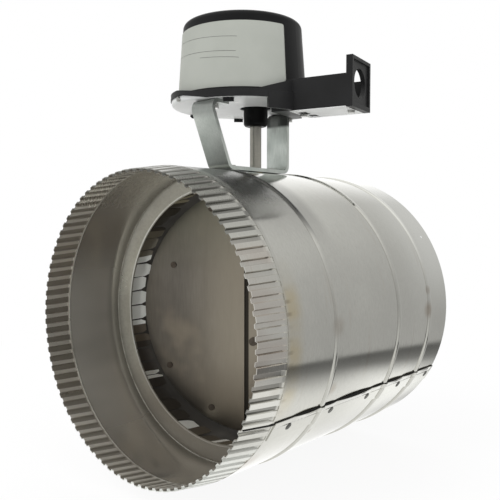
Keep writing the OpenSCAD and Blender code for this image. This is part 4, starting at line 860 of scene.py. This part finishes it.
def lap_front_shade_line():
    """Painted shade along the lap's free edge: a thin dark line carried through the crimps to the rim."""
    (start, end), (narrow, wide) = LAP_FRONT_Y, LAP_FRONT_HALF_W
    verts = []
    for j in range(LAP_FRONT_STEPS):
        q = j / (LAP_FRONT_STEPS - 1)
        y = start + (end - start) * q
        half_w = narrow + (wide - narrow) * q
        sunk = CRIMP_DRAW_IN * min(max((CRIMP_START_Y - y) / (CRIMP_START_Y - RIM_Y), 0.0), 1.0)
        crest = DUCT_R - sunk
        verts += [duct_point(crest + lift * MM, LAP_EDGE_ANGLE + side * half_w, y)
                  for lift, side in LAP_FRONT_SECTION]
    faces = flipped(rod_faces(LAP_FRONT_STEPS, len(LAP_FRONT_SECTION)))
    mesh_piece("lap_front_shade_line", verts, faces, "gap_shade")


def around_spot(away, i, sides, side, other):
    """Offset from a spot's middle to a point of a circle round it."""
    a = FULL_TURN * i / sides
    return away * MM * (math.cos(a) * side + math.sin(a) * other)


def punch_mark():
    """Small punched mark near the outlet, bright against the duct."""
    out = Vector((PUNCH_MARK.x, 0.0, PUNCH_MARK.z)).normalized()
    side = Vector((0.0, 1.0, 0.0))
    other = out.cross(side)
    sides = PUNCH_SIDES
    verts = []
    for r, lift in PUNCH_RINGS:
        for i in range(sides if r else 1):
            p = PUNCH_MARK + around_spot(r, i, sides, side, other)
            k = (DUCT_R + lift * MM) / math.hypot(p.x, p.z)
            verts.append((p.x * k, p.y, p.z * k))
    inner, outer = 1, 1 + sides
    faces = [(0, inner + (i + 1) % sides, inner + i) for i in range(sides)]
    faces += [(inner + i, inner + (i + 1) % sides, outer + (i + 1) % sides, outer + i)
              for i in range(sides)]
    faces.append(tuple(range(outer, outer + sides)))
    mesh_piece("punch_mark", verts, faces, "white_metal")


def rivet_rims():
    """Dark swaged rim round each of the seam's rivets."""
    below = math.radians(SEAM_ANGLE) + SEAM_RIVET_INSET / DUCT_R
    out = Vector((math.cos(below), 0.0, -math.sin(below)))
    side = Vector((0.0, 1.0, 0.0))
    other = out.cross(side)
    verts, faces = [], []
    for y in SEAM_RIVET_YS:
        faces += shifted(torus_faces(RIVET_RIM_SIDES, len(RIVET_RIM)), len(verts))
        centre = out * (DUCT_R + SHEET) + side * y
        for i in range(RIVET_RIM_SIDES):
            verts += [tuple(centre + around_spot(r, i, RIVET_RIM_SIDES, side, other) + out * lift * MM)
                      for r, lift in RIVET_RIM]
    mesh_piece("rivet_rims", verts, faces, "rivet_dark")


def lathe(name, profile, mat, turns=240):
    """Closed profile of radius and place along Y, turned about the duct's axis."""
    verts = [(r * math.cos(FULL_TURN * i / turns), y, r * math.sin(FULL_TURN * i / turns))
             for i in range(turns) for r, y in profile]
    mesh_piece(name, verts, torus_faces(turns, len(profile)), mat)


def ridge(name, y, major, minor):
    """Thin rolled ridge round the inside of the duct."""
    angles = [FULL_TURN * k / RIDGE_SIDES for k in range(RIDGE_SIDES)]
    profile = [(major + minor * math.cos(a), y + minor * math.sin(a)) for a in angles]
    lathe(name, profile, "ridge_steel")


def ring_face():
    """The ring's dished rim, which slopes from the bead's ridge down to the leaves' roots."""
    back = [(r, y + RING_FACE_THICK) for r, y in reversed(RING_FACE)]
    lathe("ring_face", [(r * MM, y * MM) for r, y in RING_FACE + back], "ring_face_steel")


cover_label()
label_rules()
floor_plate()
along_seam("seam_lip", lip_section, "duct_steel")
along_seam("seam_gap_shade", gap_shade_section, "gap_shade")
lap_front_shade_line()
punch_mark()
ring_face()
rivet_rims()
ridge("bead_ridge", y=-174.9 * MM, major=DUCT_BORE_R - 0.2 * MM, minor=0.45 * MM)
ridge("crimp_ridge", y=CRIMP_START_Y - 0.2 * MM, major=DUCT_BORE_R - 0.25 * MM, minor=0.5 * MM)


# Stage

FLOOR_Z = -124.6 * MM
FLOOR_RINGS = 24
FLOOR_SECTORS = 96
FLOOR_REACH = 1.4
FLOOR_SPREAD = 1.3
FLOOR_MIDDLE = (0.0, SHAFT_Y, FLOOR_Z)
FLOOR_MATTE = (0.92, 0.92, 0.92, 1.0)
WHITE = (1.0, 1.0, 1.0)

# The floor's own glow for the camera: distances between which it grows, in metres, and its shares there
GLOW_REACH = (0.15, 0.65)
GLOW_SHARES = (0.89, 1.0)


def floor_shader(mat, t):
    """White to the camera and to glossy rays, but for a share of shade near the object; matte otherwise."""
    mat.node_tree.nodes.remove(t.bsdf)
    matte = t.node("ShaderNodeBsdfDiffuse", None, Color=FLOOR_MATTE).outputs[0]
    glow = t.node("ShaderNodeEmission", None, Color=(*WHITE, 1.0), Strength=1.0).outputs[0]
    path = t.node("ShaderNodeLightPath")
    seen = t.math("ADD", path.outputs["Is Camera Ray"], path.outputs["Is Glossy Ray"], True)
    seen = t.math("ADD", seen, path.outputs["Is Transmission Ray"], True)
    away = t.vmath("DISTANCE", t.place, FLOOR_MIDDLE)
    share = t.times(seen, t.span(away, *GLOW_REACH, *GLOW_SHARES))
    both = t.node("ShaderNodeMixShader", None, i0=share, i1=matte, i2=glow).outputs[0]
    t.put(both, t.out.inputs["Surface"])


def stage_floor():
    """Round floor under the duct, which catches its shadow."""
    verts = [FLOOR_MIDDLE]
    for j in range(1, FLOOR_RINGS + 1):
        r = FLOOR_REACH * (j / FLOOR_RINGS) ** FLOOR_SPREAD
        angles = [FULL_TURN * i / FLOOR_SECTORS for i in range(FLOOR_SECTORS)]
        verts += [(r * math.cos(a), SHAFT_Y + r * math.sin(a), FLOOR_Z) for a in angles]
    faces = [(0, 1 + i, 1 + (i + 1) % FLOOR_SECTORS) for i in range(FLOOR_SECTORS)]
    for a, b, b_out, a_out in shifted(grid_faces(FLOOR_RINGS, FLOOR_SECTORS, True), 1):
        faces.append((a, a_out, b_out, b))
    mesh = bpy.data.meshes.new("floor")
    mesh.from_pydata(verts, [], faces)
    mat, t = material("floor_white")
    floor_shader(mat, t)
    mesh.materials.append(mat)
    obj = bpy.data.objects.new("floor", mesh)
    bpy.context.collection.objects.link(obj)
    obj.visible_glossy = False


# Brightness of the studio as metal sees it: sine of the elevation, brightness
WITH_TABLE_EDGE = [(-1.0, 1.0), (-0.588, 1.02), (-0.559, 0.95), (-0.53, 0.82), (-0.50, 0.62),
                   (-0.462, 0.42), (-0.423, 0.24), (-0.363, 0.11), (-0.345, 0.50), (-0.174, 0.505),
                   (0.087, 0.54), (0.26, 0.57), (0.515, 0.66), (0.8, 0.9), (1.0, 1.0)]
PLAIN_STUDIO = [(-1.0, 0.95), (-0.5, 0.85), (-0.25, 0.6), (-0.05, 0.46), (0.2, 0.50), (0.5, 0.68),
                (0.8, 0.95), (1.0, 1.0)]
WARMTH = 0.975

# Brightness of the studio for matte surfaces, the same way
MATTE_LIGHT = [(-1.0, 0.62), (0.0, 0.72), (1.0, 0.95)]

# What metal sees in certain ways: the way, how near to it a ray is (nought, full), and the colour there
TABLE_WAY = (0.36, 0.93, 0.0)
TABLE_NEAR = (0.15, 0.5)
PANEL_WAY = (-0.648, -0.76, -0.02)
PANEL_NEAR = (0.95, 0.99)
PANEL = (0.86, 0.88, 0.87)

# The two bright openings behind the object, by the parts of a ray's way, and their colours
LEFT_OPENING_X = (-0.08, -0.56)
LEFT_OPENING_Y = (0.2, 0.6)
LEFT_OPENING = (1.25, 1.25, 1.24)
LOW_OPENING_Y = (0.79, 0.88)
LOW_OPENING_Z = (-0.42, -0.52)
LOW_OPENING = (1.45, 1.46, 1.44)


def elevation_ramp(t, lift, rows, warmth=1.0):
    return t.ramp(lift, [((sine + 1) / 2, (v, v, v * warmth)) for sine, v in rows])


def studio_as_metal_sees_it(t, way, lift):
    """The table's dark edge on one side, two bright openings behind, and a pale panel near the camera."""
    x, y, z = t.axes(way)
    plain = elevation_ramp(t, lift, PLAIN_STUDIO, WARMTH)
    edge = elevation_ramp(t, lift, WITH_TABLE_EDGE, WARMTH)
    seen = t.mix(t.span(t.vmath("DOT_PRODUCT", way, TABLE_WAY), *TABLE_NEAR), plain, edge)
    seen = t.mix(t.times(t.span(x, *LEFT_OPENING_X), t.span(y, *LEFT_OPENING_Y)), seen, LEFT_OPENING)
    seen = t.mix(t.times(t.span(y, *LOW_OPENING_Y), t.span(z, *LOW_OPENING_Z)), seen, LOW_OPENING)
    return t.mix(t.span(t.vmath("DOT_PRODUCT", way, PANEL_WAY), *PANEL_NEAR), seen, PANEL)


def studio():
    """World that is white to the camera and lights matte surfaces and metal each in its own way."""
    world = bpy.data.worlds.new("studio")
    bpy.context.scene.world = world
    world.use_nodes = True
    t = Tree(world.node_tree)
    out = t.node("ShaderNodeOutputWorld")
    way = t.node("ShaderNodeTexCoord").outputs["Generated"]
    lift = t.span(t.axes(way)[2], -1.0, 1.0, smooth=False)
    path = t.node("ShaderNodeLightPath")
    white = t.math("ADD", path.outputs["Is Camera Ray"], path.outputs["Is Transmission Ray"], True)
    lit = elevation_ramp(t, lift, MATTE_LIGHT)
    colour = t.mix(path.outputs["Is Glossy Ray"], lit, studio_as_metal_sees_it(t, way, lift))
    colour = t.mix(white, colour, WHITE)
    sky = t.node("ShaderNodeBackground", None, Color=colour, Strength=1.0).outputs[0]
    t.put(sky, out.inputs["Surface"])


LAMP_AIM = Vector((0.0, SHAFT_Y, 0.06))


def lamp(name, place, size, power):
    """Round lamp aimed at the middle of the object, not mirrored in its metal."""
    data = bpy.data.lights.new(name, "AREA")
    data.shape = "DISK"
    data.size = size
    data.energy = power
    obj = bpy.data.objects.new(name, data)
    obj.location = place
    obj.rotation_euler = (LAMP_AIM - Vector(place)).to_track_quat("-Z", "Y").to_euler()
    obj.visible_glossy = False
    bpy.context.collection.objects.link(obj)


# Camera, fitted to the photograph: place and axes, and focal length in pixels of its width
CAMERA_PLACE = (0.35901, -0.54838, 0.07525)
CAMERA_RIGHT = Vector((0.76035, 0.64951, 0.00093))
CAMERA_UP = Vector((-0.02928, 0.03284, 0.99903))
CAMERA_AHEAD = Vector((-0.64885, 0.75964, -0.04399))
FOCAL_PX = 665.48
PHOTO_PX = 500
SENSOR_MM = 36.0


def camera():
    data = bpy.data.cameras.new("camera")
    data.sensor_fit = "HORIZONTAL"
    data.sensor_width = SENSOR_MM
    data.lens = FOCAL_PX / PHOTO_PX * SENSOR_MM
    data.clip_start = 0.01
    data.clip_end = 50.0
    obj = bpy.data.objects.new("camera", data)
    bpy.context.collection.objects.link(obj)
    turn = Matrix((CAMERA_RIGHT, CAMERA_UP, -CAMERA_AHEAD)).transposed().to_4x4()
    obj.matrix_world = Matrix.Translation(CAMERA_PLACE) @ turn
    bpy.context.scene.camera = obj


stage_floor()
studio()
lamp("key_lamp", place=(-0.5, -1.5, 1.6), size=1.2, power=16.0)
lamp("fill_lamp", place=(1.6, -0.2, 0.9), size=1.4, power=7.0)
camera()
bpy.context.scene.view_settings.view_transform = "Standard"
